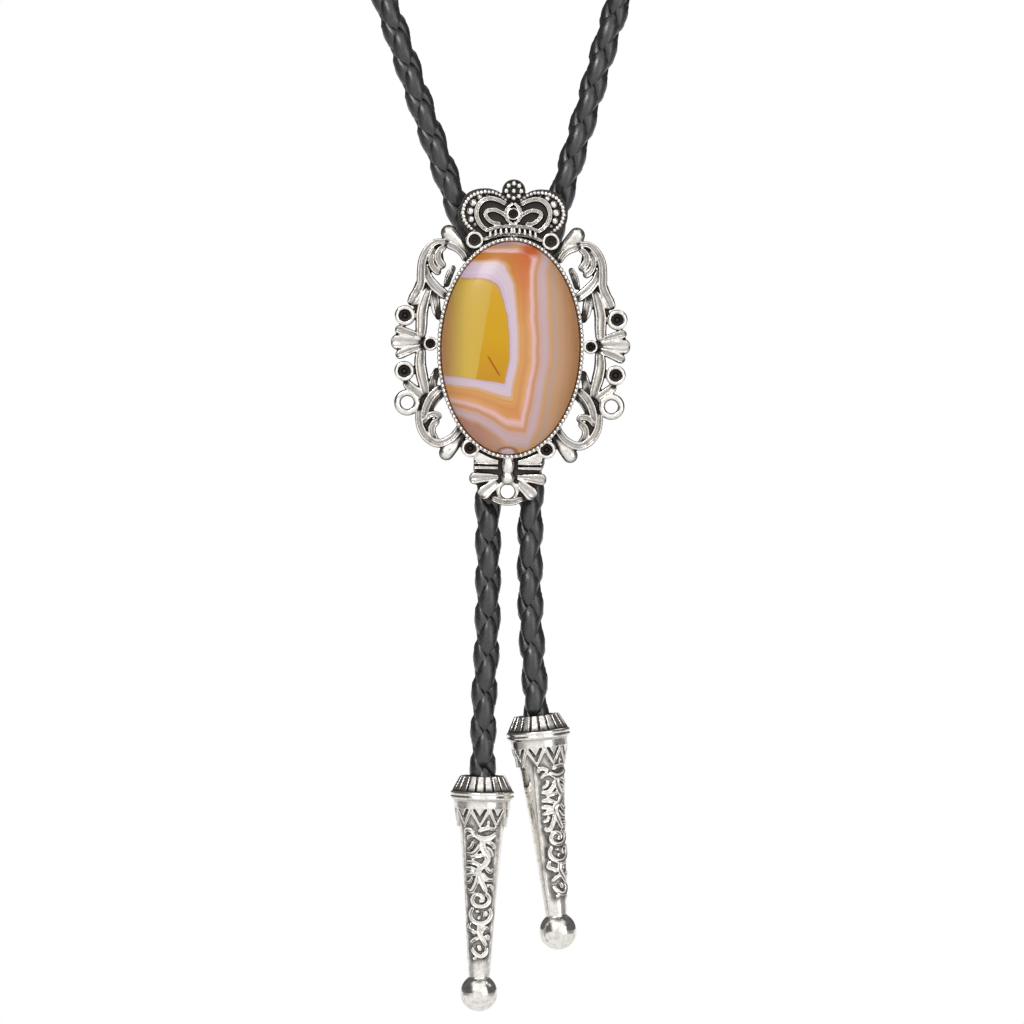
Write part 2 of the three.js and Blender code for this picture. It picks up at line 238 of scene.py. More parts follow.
def new_mesh(name: str, corners: list[Point3], edges: list[tuple], faces: list[tuple]) -> bpy.types.Object:
    """A mesh object from its corners in metres, its edges and its faces."""
    data = bpy.data.meshes.new(name)
    data.from_pydata(corners, edges, faces)
    return new_piece(name, data)


def mark(piece: bpy.types.Object, name: str, number: Callable[[Vector], float]) -> None:
    """Gives every vertex a number for a material to read.

    Args:
        piece: the mesh object.
        name: the attribute's name.
        number: gives the number for a vertex's place.
    """
    marks = piece.data.attributes.new(name, "FLOAT", "POINT")
    for index, vertex in enumerate(piece.data.vertices):
        marks.data[index].value = number(vertex.co)


def apply(piece: bpy.types.Object, kind: str, **settings: object) -> None:
    """Adds a modifier, sets it and applies it.

    Args:
        piece: the mesh object.
        kind: the modifier's type.
        settings: its values by name.
    """
    activate(piece)
    modifier = piece.modifiers.new(kind.lower(), kind)
    for key, value in settings.items():
        setattr(modifier, key, value)
    bpy.ops.object.modifier_apply(modifier=modifier.name)


@contextmanager
def editing(piece: bpy.types.Object) -> Iterator[None]:
    """Opens a mesh for editing, with all of it selected, and closes it again."""
    activate(piece)
    bpy.ops.object.mode_set(mode="EDIT")
    bpy.ops.mesh.select_all(action="SELECT")
    yield
    bpy.ops.object.mode_set(mode="OBJECT")


def select_open_edges() -> None:
    """Selects the edges of holes in the mesh that is open for editing."""
    bpy.ops.mesh.select_mode(type="EDGE")
    bpy.ops.mesh.select_all(action="DESELECT")
    bpy.ops.mesh.select_non_manifold()


def tidy_mesh(piece: bpy.types.Object, gap: float = 0.002 * MM) -> None:
    """Merges doubled vertices and points the faces outwards."""
    with editing(piece):
        bpy.ops.mesh.remove_doubles(threshold=gap)
        bpy.ops.mesh.normals_make_consistent(inside=False)


def face_outwards(piece: bpy.types.Object) -> None:
    """Points the faces outwards."""
    with editing(piece):
        bpy.ops.mesh.normals_make_consistent(inside=False)


def smooth(piece: bpy.types.Object) -> None:
    """Shades a piece smooth."""
    activate(piece)
    bpy.ops.object.shade_smooth()


def settle(piece: bpy.types.Object) -> None:
    """Puts an object's place, turn and scale into its mesh."""
    activate(piece)
    bpy.ops.object.transform_apply(location=True, rotation=True, scale=True)


def cast_as_one(parts: list[bpy.types.Object], name: str, voxel: float, most_faces: int) -> bpy.types.Object:
    """Fuses overlapping closed parts into one casting with soft fillets.

    Args:
        parts: closed meshes that overlap.
        name: the casting's name.
        voxel: the side of a voxel, in metres.
        most_faces: the triangles that the casting may have.

    Returns:
        The casting.
    """
    casting = merge(parts, name)
    apply(casting, "REMESH", mode="VOXEL", voxel_size=voxel, use_smooth_shade=True)
    apply(casting, "SMOOTH", factor=0.5, iterations=2)
    triangles = 2 * len(casting.data.polygons)
    if triangles > most_faces:
        apply(casting, "DECIMATE", ratio=most_faces / triangles)
    smooth(casting)
    log.info("%s: %d triangles", name, sum(len(face.vertices) - 2 for face in casting.data.polygons))
    return casting


def mark_relief(piece: bpy.types.Object, flatten: Callable[[Vector], tuple[float, float, float]],
                shade: Callable[[float], float], depth: float) -> None:
    """Marks how little each vertex lies below the highest relief near it, for the patina and painted shade of the
    recesses.

    The heights are first gathered on a grid of cells. Each cell then takes the highest relief within reach,
    less a fall that grows with the square of the distance.

    Args:
        piece: the casting.
        flatten: gives a place's two directions along the ground and its height, in millimetres.
        shade: gives the share of full brightness that a height can have.
        depth: how far below the relief near it a place is quite dark, in millimetres.
    """
    cell, reach, fall, nothing = 0.2, 5, 0.4, -9.0
    spots = [flatten(vertex.co) for vertex in piece.data.vertices]
    left, low = (min(spot[axis] for spot in spots) for axis in (0, 1))
    columns, rows = (int((max(spot[axis] for spot in spots) - least) / cell) + 2 * reach + 2
                     for axis, least in ((0, left), (1, low)))
    places = [(int((along - left) / cell) + reach, int((up - low) / cell) + reach) for along, up, _ in spots]
    crest = [[nothing] * rows for _ in range(columns)]
    for (column, row), (_, _, height) in zip(places, spots):
        crest[column][row] = max(crest[column][row], height)
    offsets = [(step, fall * (step * cell) ** 2) for step in range(-reach, reach + 1)]
    crest = [[max(line[row + step] - loss for step, loss in offsets)
              if reach <= row < rows - reach else nothing for row in range(rows)] for line in crest]
    crest = [[max(crest[column + step][row] - loss for step, loss in offsets) for row in range(rows)]
             if reach <= column < columns - reach else crest[column] for column in range(columns)]
    relief = piece.data.attributes.new("relief", "FLOAT", "POINT")
    for index, ((column, row), (_, _, height)) in enumerate(zip(places, spots)):
        sunk = (crest[column][row] - height) / depth
        relief.data[index].value = max(1.0 - sunk, 0.0) * shade(height)


def smooth_line(points: list[Point2] | tuple[Point2, ...], per_span: int = 6) -> list[Point2]:
    """Points along a smooth closed line through given ones.

    Args:
        points: the given points, in order.
        per_span: steps between two of them.

    Returns:
        The denser points.
    """
    line: list[Point2] = []
    count = len(points)
    for index in range(count):
        before, start, end, after = (Vector(points[(index + shift) % count]) for shift in (-1, 0, 1, 2))
        for step in range(per_span):
            t = step / per_span
            spot = 0.5 * (2 * start + (end - before) * t + (2 * before - 5 * start + 4 * end - after) * t * t
                          + (3 * start - before - 3 * end + after) * t ** 3)
            line.append((spot.x, spot.y))
    return line


@dataclass(frozen=True)
class Stroke:
    """A ridge of the casting: its points, and its widths at the start, middle and end, in millimetres."""

    points: tuple[Point2, ...]
    widths: tuple[float, float, float]
    top: Level = Level.HIGH
    straight: bool = False

    def knots(self) -> list[tuple[float, float, float]]:
        """Places along the stroke with its width at each, rounded off at both ends unless it is straight."""
        first, middle, last = self.widths
        spots = []
        for index, (x, y) in enumerate(self.points):
            share = index / (len(self.points) - 1)
            swell = (middle - (first + last) / 2) * math.sin(math.pi * share)
            width = first + (last - first) * share + swell
            spots.append((x, y, width))
        return spots if self.straight else self.rounded(self.rounded(spots)[::-1])[::-1]

    @staticmethod
    def rounded(spots: list[tuple[float, float, float]]) -> list[tuple[float, float, float]]:
        """The same places with the first one replaced by several that round off that end."""
        (x, y, width), (next_x, next_y, next_width) = spots[:2]
        length = math.hypot(next_x - x, next_y - y)
        reach = min(width / 2, 0.75 * length) / length
        end = []
        for share, size in ROUND_END:
            way = reach * share
            size_here = size * (width + (next_width - width) * way)
            end.append((x + (next_x - x) * way, y + (next_y - y) * way, size_here))
        return end + spots[1:]


# The section of a stroke, one wide and one high: two crests with a shallow trough between them
RIDGE_PROFILE = ((-0.5, 0.0), (-0.5, 0.4), (-0.46, 0.76), (-0.4, 0.95), (-0.33, 1.0), (-0.22, 0.88),
                 (0.0, 0.78), (0.22, 0.88), (0.33, 1.0), (0.4, 0.95), (0.46, 0.76), (0.5, 0.4), (0.5, 0.0))
# How an end of a stroke rounds off: the distance from it and the width there, both as shares
ROUND_END = ((0.0, 0.25), (0.12, 0.52), (0.42, 0.84), (1.0, 1.0))
# How fast a stroke gets lower as it gets narrower
THINNING = 0.3


def ridge_profile() -> bpy.types.Object:
    """The section that every stroke is swept with, one unit wide and one high."""
    data = bpy.data.curves.new("ridge_profile", "CURVE")
    spline = data.splines.new("POLY")
    spline.points.add(len(RIDGE_PROFILE) - 1)
    for point, (x, y) in zip(spline.points, RIDGE_PROFILE):
        point.co = (x, y, 0.0, 1.0)
    spline.use_cyclic_u = True
    return new_piece("ridge_profile", data)


def ridge(stroke: Stroke, profile: bpy.types.Object) -> bpy.types.Object:
    """Sweeps a stroke into a closed ridge that stands on the plane z = 0.

    Args:
        stroke: the stroke.
        profile: the section to sweep.

    Returns:
        The ridge as a mesh, in metres.
    """
    data = bpy.data.curves.new("ridge", "CURVE")
    data.dimensions = "3D"
    data.twist_mode = "Z_UP"
    data.resolution_u = 8
    data.bevel_mode = "OBJECT"
    data.bevel_object = profile
    data.use_fill_caps = True
    knots = stroke.knots()
    spline = data.splines.new("BEZIER")
    spline.bezier_points.add(len(knots) - 1)
    handle = "VECTOR" if stroke.straight else "AUTO"
    for knot, (x, y, width) in zip(spline.bezier_points, knots):
        knot.co = (x * MM, y * MM, 0.0)
        knot.handle_left_type = knot.handle_right_type = handle
        knot.radius = width * MM
    piece = new_piece("ridge", data)
    activate(piece)
    bpy.ops.object.convert(target="MESH")
    sides = len(RIDGE_PROFILE)
    heights = [max(vertex.co.z, 0.0) for vertex in piece.data.vertices]
    peaks = [max(heights[start:start + sides]) for start in range(0, len(heights), sides)]
    for index, vertex in enumerate(piece.data.vertices):
        peak = peaks[index // sides]
        vertex.co.z = stroke.top.value * heights[index] / peak * (peak / max(peaks)) ** THINNING
    tidy_mesh(piece)
    return piece


def mirror_copy(piece: bpy.types.Object) -> bpy.types.Object:
    """The same form on the other side of the slide's middle line."""
    twin = copy_of(piece, piece.name + "_mirror")
    twin.scale.x = -1
    settle(twin)
    face_outwards(twin)
    return twin


def turned(profile: list[Point2], steps: int = 32, at: Point2 = (0.0, 0.0)) -> bpy.types.Object:
    """Spins a half section round the z axis into a closed form.

    Args:
        profile: radius and height of each corner, in millimetres, from axis to axis or closed on itself.
        steps: sides of the form.
        at: where its axis stands on the slide, in millimetres.

    Returns:
        The turned mesh.
    """
    corners = [(radius * MM, 0.0, height * MM) for radius, height in profile]
    edges = [(index, index + 1) for index in range(len(corners) - 1)]
    on_axis = profile[0][0] == 0 and profile[-1][0] == 0
    if not on_axis:
        edges.append((len(corners) - 1, 0))
    piece = new_mesh("turned", corners, edges, [])
    with editing(piece):
        bpy.ops.mesh.spin(steps=steps, angle=2 * math.pi, center=(0, 0, 0), axis=(0, 0, 1))
    tidy_mesh(piece)
    piece.location = (at[0] * MM, at[1] * MM, 0)
    settle(piece)
    return piece


def bead(at: Point2, height: float, radius: float, squash: float = 1.0) -> bpy.types.Object:
    """A small round bead.

    Args:
        at: its place on the slide, in millimetres.
        height: the height of its middle, in millimetres.
        radius: its radius, in millimetres.
        squash: its height as a share of its width.

    Returns:
        The bead's mesh.
    """
    deselect()
    place = (at[0] * MM, at[1] * MM, height * MM)
    bpy.ops.mesh.primitive_ico_sphere_add(subdivisions=2, radius=radius * MM, location=place)
    piece = bpy.context.view_layer.objects.active
    piece.scale.z = squash
    settle(piece)
    return piece


def beads_along(line: list[Point2], count: int, height: float, radius: float,
                closed: bool = False) -> list[bpy.types.Object]:
    """A row of equal beads along a line.

    Args:
        line: points of the line, in millimetres.
        count: how many beads.
        height: the height of their middles, in millimetres.
        radius: their radius, in millimetres.
        closed: whether the line ends where it starts, so that its last bead is left out.

    Returns:
        The beads, copies of one.
    """
    lengths = [0.0]
    for start, end in zip(line, line[1:]):
        lengths.append(lengths[-1] + (Vector(end) - Vector(start)).length)
    first = bead((0.0, 0.0), 0.0, radius)
    row = []
    for index in range(count):
        goal = lengths[-1] * index / (count if closed else count - 1)
        span = next(i for i in range(1, len(lengths)) if lengths[i] >= goal - 1e-9)
        t = (goal - lengths[span - 1]) / (lengths[span] - lengths[span - 1])
        spot = Vector(line[span - 1]).lerp(Vector(line[span]), t)
        one = copy_of(first, "bead")
        one.location = (spot.x * MM, spot.y * MM, height * MM)
        settle(one)
        row.append(one)
    bpy.data.objects.remove(first)
    return row


def plate(outline: list[Point2], bottom: float, top: float) -> bpy.types.Object:
    """A flat plate with a drawn outline.

    Args:
        outline: its corners, in millimetres.
        bottom: the height of its lower face, in millimetres.
        top: the height of its upper face, in millimetres.

    Returns:
        The plate's mesh.
    """
    corners = [(x * MM, y * MM, bottom * MM) for x, y in outline]
    piece = new_mesh("plate", corners, [], [tuple(range(len(outline)))])
    with editing(piece):
        bpy.ops.mesh.extrude_region_move(TRANSFORM_OT_translate={"value": (0, 0, (top - bottom) * MM)})
    face_outwards(piece)
    return piece


def oval(half_width: float, half_height: float, count: int) -> list[Point2]:
    """Points round an oval, in the units of its half sizes."""
    turns = (2 * math.pi * index / count for index in range(count))
    return [(half_width * math.cos(turn), half_height * math.sin(turn)) for turn in turns]


def to_slide(piece: bpy.types.Object) -> None:
    """Stands a form drawn flat on the slide's plane up in its place, front towards -Y."""
    stand = Matrix.Translation(STONE_CENTRE) @ Matrix.Rotation(math.pi / 2, 4, "X")
    piece.data.transform(stand @ Matrix.Rotation(SLIDE_TILT, 4, "Z"))
    piece.data.update()


# Strokes of the slide's right half, from the middle of the stone
SCROLLWORK: dict[str, Stroke] = {
    "upper_arm": Stroke(((9.2, 17.3), (10.1, 18.8), (11.5, 19.9), (13.2, 20.6)), (1.32, 1.44, 1.68)),
    "upper_scroll": Stroke(((13.2, 21.1), (15.1, 20.95), (16.5, 19.95), (17.4, 18.6), (17.95, 16.95),
                            (18.1, 14.6), (18.2, 12.35), (19.2, 10.3), (20.3, 8.2)), (1.2, 1.8, 1.92)),
    "upper_scroll_foot": Stroke(((18.1, 13.4), (18.8, 10.7), (19.8, 8.3)), (1.7, 2.4, 3.3)),
    "upper_scroll_lip": Stroke(((15.3, 19.7), (16.0, 18.5), (16.25, 17.2), (15.8, 15.9), (15.0, 15.1),
                                (14.2, 14.8)), (0.72, 1.38, 1.5)),
    "upper_hook": Stroke(((13.3, 20.2), (14.3, 19.5), (14.85, 18.3), (14.5, 16.9), (13.5, 15.8)),
                         (0.96, 1.56, 1.8)),
    "upper_hook_leaf": Stroke(((11.6, 16.3), (12.5, 14.4), (13.2, 12.0)), (1.1, 1.5, 1.2), Level.MIDDLE),
    "upper_band": Stroke(((17.4, 16.1), (16.8, 14.0), (15.5, 12.2), (12.8, 9.9)), (1.08, 2.1, 2.04)),
    "upper_bar": Stroke(((16.5, 11.8), (17.2, 9.6), (17.8, 7.2), (17.9, 4.4), (18.0, 1.6)),
                        (1.56, 2.52, 2.04)),
    "upper_bar_root": Stroke(((19.9, 9.2), (19.2, 8.3), (18.9, 7.0)), (1.08, 1.08, 0.72), Level.MIDDLE),
    "upper_leaf": Stroke(((15.6, 10.9), (15.2, 9.0), (14.9, 7.2), (14.4, 5.4)),
                         (1.56, 1.92, 0.96), Level.MIDDLE),
    "upper_leaf_edge": Stroke(((16.1, 10.2), (15.8, 8.2), (15.3, 6.4)), (0.6, 0.72, 0.6), Level.MIDDLE),
    "lower_bar": Stroke(((17.8, -0.2), (18.0, -2.9), (17.6, -5.7), (16.95, -8.3), (16.7, -9.8)),
                        (1.92, 2.52, 1.44)),
    "lower_leaf": Stroke(((14.6, -4.2), (15.1, -6.2), (15.5, -8.2), (15.9, -9.8)),
                         (0.96, 1.8, 1.32), Level.MIDDLE),
    "lower_leaf_edge": Stroke(((14.5, -5.2), (14.8, -6.8), (15.0, -8.2)), (0.6, 0.72, 0.6), Level.MIDDLE),
    "ring_leaf": Stroke(((21.1, -6.9), (19.8, -8.2), (18.2, -9.4), (17.3, -10.0)), (1.56, 2.28, 1.8)),
    "lower_band": Stroke(((13.6, -7.9), (15.5, -9.9), (16.6, -12.1), (17.1, -14.6)), (1.68, 1.92, 1.44)),
    "lower_band_edge": Stroke(((13.0, -9.2), (14.6, -11.0), (15.6, -13.0)),
                              (0.84, 0.84, 0.48), Level.MIDDLE),
    "lower_scroll": Stroke(((18.0, -12.6), (17.95, -14.6), (17.4, -16.6), (16.0, -18.4), (14.1, -19.25),
                            (11.9, -18.55), (10.2, -16.8), (9.4, -15.3)), (1.44, 1.8, 1.44)),
    "lower_curl": Stroke(((17.2, -15.3), (16.4, -14.2), (15.3, -13.5), (14.2, -13.65), (13.7, -14.4)),
                         (0.9, 1.3, 1.1)),
    "lower_hook": Stroke(((14.0, -14.6), (15.0, -15.4), (15.4, -16.6), (15.0, -17.8), (14.2, -18.7)),
                         (1.3, 1.6, 1.1)),
    "fan_top": Stroke(((17.6, 1.8), (20.2, 2.6), (23.1, 3.5)), (1.0, 1.7, 2.0)),
    "fan_shell": Stroke(((17.4, 0.8), (20.4, 0.85), (23.9, 0.75)), (1.2, 2.6, 3.9)),
    "fan_bottom": Stroke(((17.6, 0.0), (20.2, -0.9), (22.9, -2.0)), (1.0, 1.7, 2.0)),
    "crown_heart": Stroke(((1.3, 28.6), (3.1, 29.5), (5.05, 29.75), (6.5, 28.95), (7.3, 27.4), (7.05, 25.5),
                           (6.0, 24.0), (5.0, 23.3)), (0.95, 1.1, 1.0), Level.TOP),
    "crown_leaf": Stroke(((1.3, 26.2), (2.6, 27.1), (4.2, 27.5), (5.55, 26.8), (5.05, 25.7), (3.9, 24.9),
                          (2.3, 24.75)), (0.85, 0.95, 0.85), Level.TOP),
    "crown_almond": Stroke(((0.0, 29.0), (1.1, 28.0), (1.6, 26.75), (1.1, 25.5), (0.0, 24.6)),
                           (0.6, 0.7, 0.6),
                           Level.TOP),
    "ladder_top": Stroke(((-0.3, 24.3), (2.0, 24.2), (3.9, 23.85), (5.6, 23.2)),
                         (0.8, 0.8, 0.8), Level.TOP),
    "ladder_bottom": Stroke(((-0.3, 22.7), (2.0, 22.6), (3.9, 22.25), (5.8, 21.5)),
                            (0.8, 0.8, 0.8), Level.TOP),
    "bow_fold": Stroke(((1.9, -23.05), (4.0, -23.05), (6.8, -23.0)), (0.5, 0.55, 0.55), Level.HIGH, True),
    "bow_fold_low": Stroke(((1.9, -23.95), (4.0, -23.95), (6.8, -23.95)),
                           (0.6, 0.65, 0.65), Level.HIGH, True),
    "bow_petal": Stroke(((1.6, -25.8), (3.4, -25.85), (5.6, -26.0), (7.7, -26.2)),
                        (0.9, 2.0, 2.9), Level.HIGH),
    "bow_petal_low": Stroke(((2.0, -26.6), (3.1, -27.6), (4.4, -28.7), (5.5, -29.7)),
                            (1.7, 2.7, 3.4), Level.HIGH),
    "bow_petal_end": Stroke(((-0.9, -30.8), (1.2, -30.65), (3.2, -29.95)), (1.4, 1.4, 1.2)),
}

# Right halves of the thin plates under the ornament, and the crown's rows of beads
CROWN_OUTLINE: tuple[Point2, ...] = (
    (0.0, 20.6), (4.6, 19.6), (8.2, 18.4), (9.0, 21.0), (9.4, 23.2), (10.5, 24.9), (10.9, 26.8),
    (10.55, 28.7), (9.4, 30.5), (7.8, 31.45), (5.8, 31.75), (4.0, 31.6), (2.6, 31.0), (1.6, 30.6))
BOW_OUTLINE: tuple[Point2, ...] = (
    (0.0, -20.6), (3.0, -20.5), (5.9, -19.7), (6.4, -21.4), (6.5, -23.4), (6.2, -24.6), (6.2, -25.2),
    (7.1, -25.6), (7.15, -26.6), (6.2, -27.5), (5.2, -28.2), (5.0, -29.3), (3.7, -30.4), (2.2, -31.0),
    (0.0, -31.35))
UNDERLAYS: tuple[tuple[Point2, ...], ...] = (
    ((15.0, 20.8), (13.6, 20.3), (13.9, 18.9), (13.6, 16.6), (14.2, 15.4), (15.3, 15.3), (16.6, 16.4),
     (17.2, 17.8), (16.6, 19.5)),
    ((17.9, 15.0), (16.7, 12.8), (16.9, 10.5), (18.3, 8.0), (19.4, 8.6), (18.6, 12.0)),
    ((18.2, -9.6), (17.0, -9.8), (16.6, -12.0), (15.3, -14.0), (15.6, -15.2), (14.9, -17.0), (13.9, -18.6),
     (14.9, -18.9), (16.6, -17.8), (17.7, -16.2), (18.3, -14.1), (18.8, -12.4)))
FAN_OUTLINE: tuple[Point2, ...] = (
    (16.9, 1.7), (19.0, 2.3), (21.0, 3.1), (22.3, 3.3), (22.9, 2.5), (23.1, 1.7), (22.9, 0.2), (22.5, -1.2),
    (21.8, -2.0), (20.8, -1.5), (18.8, -0.6), (16.9, 0.3))
BOW_WING: tuple[Point2, ...] = (
    (1.9, -22.45), (3.8, -21.85), (5.9, -20.85), (6.7, -21.0), (6.8, -22.5), (1.9, -22.65))
SMALL_BEADS: tuple[Point2, ...] = (
    (1.6, 29.5), (2.66, 30.4), (4.13, 31.0), (5.8, 31.1), (7.4, 30.8), (8.8, 30.0), (9.8, 28.5), (10.1, 26.8),
    (9.65, 25.1), (8.5, 23.8), (7.7, 23.2))
LARGE_BEADS: tuple[tuple[float, float, float], ...] = (
    (5.3, 30.3, 0.52), (6.7, 29.9, 0.76), (7.95, 28.8, 0.92), (8.5, 27.2, 0.92), (8.3, 25.6, 0.8),
    (7.5, 24.55, 0.57))


@dataclass
class Slide:
    """The cast slide: tray, beaded bezel, pierced scrollwork, crown, bow, cups, rings and fans."""

    stone_half: Point2 = (13.8, 21.2)
    gap: float = 0.12
    wall: float = 0.7
    tray_floor: float = 1.0
    bezel_top: float = 3.0
    bezel_drop: float = 0.25
    bead_radius: float = 0.44
    bead_pitch: float = 0.93
    bead_sink: float = 0.1
    plate_top: float = 1.15
    highest: float = 2.45
    # How far below nearby crests a place turns dark: patina and painted shade
    patina_and_shade_depth: float = 0.65
    ground_shade: float = 0.44
    rear_skin: float = 0.12
    rear_shade: float = 0.62
    cup_top: float = 2.75
    cup_floor: float = 1.0
    cups: tuple[tuple[float, float, float, float], ...] = (
        (7.6, 21.4, 1.8, 1.12), (21.2, 6.1, 2.05, 1.15), (21.1, -5.0, 2.0, 1.18), (16.0, 0.56, 1.4, 0.92),
        (7.6, -20.1, 1.88, 1.12))
    crown_cup: tuple[float, float, float, float] = (0.0, 26.75, 1.2, 0.95)
    side_ring: tuple[float, float, float, float] = (20.4, -11.25, 2.62, 1.3)
    bow_ring: tuple[float, float, float, float] = (0.0, -28.6, 2.35, 1.4)
    drops: tuple[tuple[Point2, Point2, float], ...] = (((8.0, 18.0), (12.8, 22.8), 1.62),
                                                       ((8.3, -16.9), (12.35, -21.15), 1.52))
    # How much a drop narrows, how late it does, how flat it is and how high its middle lies
    drop_form: tuple[float, float, float, float] = (0.72, 1.25, 0.85, 1.0)
    rungs: int = 5
    rung_pitch: float = 1.06
    rung_half: float = 0.3
    rung_ends: tuple[float, float] = (24.2, 22.7)
    rung_start: float = 0.25
    rung_curve: float = 0.04
    rung_foot: float = 1.0
    rim_beads: tuple[int, float, float] = (22, 1.6, 0.52)
    large_bead_height: float = 1.5
    # The crown's edge outside its small beads: how much wider, how much higher and from what height
    crown_edge: tuple[float, float, float] = (1.052, 0.045, 20)
    knob: tuple[float, float, int] = (31.4, 2.35, 8)
    # The knob's rim: how far inside its radius, and how high
    knob_rim: tuple[Point2, ...] = ((0.0, 0.0), (0.0, 1.3), (0.15, 1.5), (0.3, 1.5), (0.42, 1.2))
    knob_floor: float = 1.15
    knob_middle: tuple[float, float] = (1.55, 0.55)
    knob_beads: tuple[float, float, float] = (1.5, 1.5, 0.6)
    barrel: tuple[Point3, Point3] = ((0.0, -23.2, 1.5), (1.45, 2.4, 1.25))
    bulb: tuple[Point2, float, float, float] = ((0.0, -25.9), 1.3, 1.5, 0.8)
    voxel: float = 0.13
    most_faces: int = 165_000
    profile: bpy.types.Object = field(default_factory=ridge_profile)

    def bezel(self) -> tuple[list[bpy.types.Object], list[bpy.types.Object]]:
        """The tray's floor and the wall round the stone, and its row of beads."""
        inner = tuple(half + self.gap for half in self.stone_half)
        outer = tuple(half + self.wall for half in inner)
        floor = plate(oval(*outer, 96), 0.0, self.tray_floor)
        wall = self.ring_wall(inner, outer)
        line = oval(*((a + b) / 2 for a, b in zip(inner, outer)), 240)
        line.append(line[0])
        around = sum((Vector(a) - Vector(b)).length for a, b in zip(line, line[1:]))
        count = round(around / self.bead_pitch)
        beads = beads_along(line, count, self.bezel_top - self.bead_sink, self.bead_radius, closed=True)
        return [floor, wall], beads

    def ring_wall(self, inner: Point2, outer: Point2) -> bpy.types.Object:
        """An oval wall between two ovals, from the rear face up to the bezel's top.

        Args:
            inner: the inner oval's half sizes, in millimetres.
            outer: the outer oval's half sizes, in millimetres.

        Returns:
            The wall's mesh.
        """
        sides, top = 128, self.bezel_top - self.bezel_drop
        rings = [(outer, 0.0), (outer, top), (inner, top), (inner, 0.0)]
        corners = [(x * MM, y * MM, z * MM) for half, z in rings for x, y in oval(*half, sides)]
        faces = []
        for ring in range(len(rings)):
            low, high = ring * sides, ((ring + 1) % len(rings)) * sides
            for start in range(sides):
                end = (start + 1) % sides
                faces.append((low + start, low + end, high + end, high + start))
        wall = new_mesh("bezel_wall", corners, [], faces)
        tidy_mesh(wall)
        return wall

    def cup(self, x: float, y: float, outer: float, inner: float) -> bpy.types.Object:
        """A small empty stone cup with a rounded rim and a dimple in its floor."""
        rim = (outer - inner) / 2
        middle = (outer + inner) / 2
        section = [(0.0, 0.0), (outer, 0.0), (outer, self.cup_top - rim)]
        for step in range(1, 6):
            angle = math.pi * step / 6
            section.append((middle + rim * math.cos(angle), self.cup_top - rim + rim * math.sin(angle)))
        section += [(inner, self.cup_top - rim), (inner, self.cup_floor),
                    (inner * 0.55, self.cup_floor - 0.05), (inner * 0.3, self.cup_floor + 0.3),
                    (0.0, self.cup_floor + 0.4)]
        return turned(section, 28, (x, y))

    def ring(self, x: float, y: float, outer: float, inner: float,
             level: Level = Level.HIGH) -> bpy.types.Object:
        """A hanging ring, round on its front and flat behind."""
        half = (outer - inner) / 2
        middle = (outer + inner) / 2
        top = level.value / MM
        section = [(outer, 0.0)]
        for step in range(7):
            angle = math.pi * step / 6
            section.append((middle + half * math.cos(angle), top - half + half * math.sin(angle)))
        section.append((inner, 0.0))
        return turned(section, 36, (x, y))

    def drop(self, root: Point2, head: Point2, radius: float) -> bpy.types.Object:
        """A teardrop that lies on the slide's plane.

        Args:
            root: its thin end, in millimetres.
            head: the middle of its round end.
            radius: the radius of the round end.

        Returns:
            The drop's mesh.
        """
        way = Vector(head) - Vector(root)
        loss, lateness, flatness, height = self.drop_form
        steps = 8
        section = [(0.0, radius)]
        for step in range(1, steps + 1):
            angle = math.pi * step / (2 * steps)
            section.append((radius * math.sin(angle), radius * math.cos(angle)))
        for step in range(1, steps + 1):
            share = step / steps
            section.append((radius * (1.0 - loss * share ** lateness), -way.length * share))
        section.append((0.0, -way.length))
        piece = turned(section, 32)
        turn = math.atan2(way.y, way.x) - math.pi / 2
        lie = Matrix.Rotation(turn, 4, "Z") @ Matrix.Rotation(-math.pi / 2, 4, "X")
        squash = Matrix.Diagonal((1.0, 1.0, flatness, 1.0))
        place = Matrix.Translation((head[0] * MM, head[1] * MM, height * MM))
        piece.data.transform(place @ squash @ lie)
        for vertex in piece.data.vertices:
            vertex.co.z = max(vertex.co.z, 0.0)
        return piece

    def flower(self) -> tuple[list[bpy.types.Object], list[bpy.types.Object]]:
        """The round knob on top of the crown.

        Returns:
            Its rimmed base, and its beads.
        """
        height, radius, petals = self.knob
        reach, *size = self.knob_beads
        centre = (0.0, height)
        rim = [(radius - inwards, top) for inwards, top in self.knob_rim]
        base = turned([(0.0, 0.0), *rim, (0.0, self.knob_floor)], 40, centre)
        beads = [bead(centre, *self.knob_middle)]
        for index in range(petals):
            turn = 2 * math.pi * index / petals
            beads.append(bead((reach * math.sin(turn), height + reach * math.cos(turn)), *size))
        return [base], beads

    def crown_beads(self) -> list[bpy.types.Object]:
        """Both bead rows on the crown's right half, and the rungs of the ladder band."""
        row = beads_along(list(SMALL_BEADS), *self.rim_beads)
        row += [bead((x, y), self.large_bead_height, radius) for x, y, radius in LARGE_BEADS]
        for index in range(self.rungs):
            x = self.rung_pitch * (index + self.rung_start)
            top, foot = (end - self.rung_curve * x * x for end in self.rung_ends)
            half = self.rung_half
            corners = [(x - half, top), (x - half, foot), (x + half, foot), (x + half, top)]
            row.append(plate(corners, self.rung_foot, Level.TOP.value / MM))
        return row

    def bow_plate(self) -> bpy.types.Object:
        """The plate under the bow, with the round hole through it."""
        base = plate(self.both_sides(BOW_OUTLINE), 0.0, self.plate_top)
        x, y, _, hole = self.bow_ring
        drill = turned([(0.0, -1.0), (hole, -1.0), (hole, 4.0), (0.0, 4.0)], 48, (x, y))
        apply(base, "BOOLEAN", object=drill, operation="DIFFERENCE", solver="EXACT")
        bpy.data.objects.remove(drill)
        return base

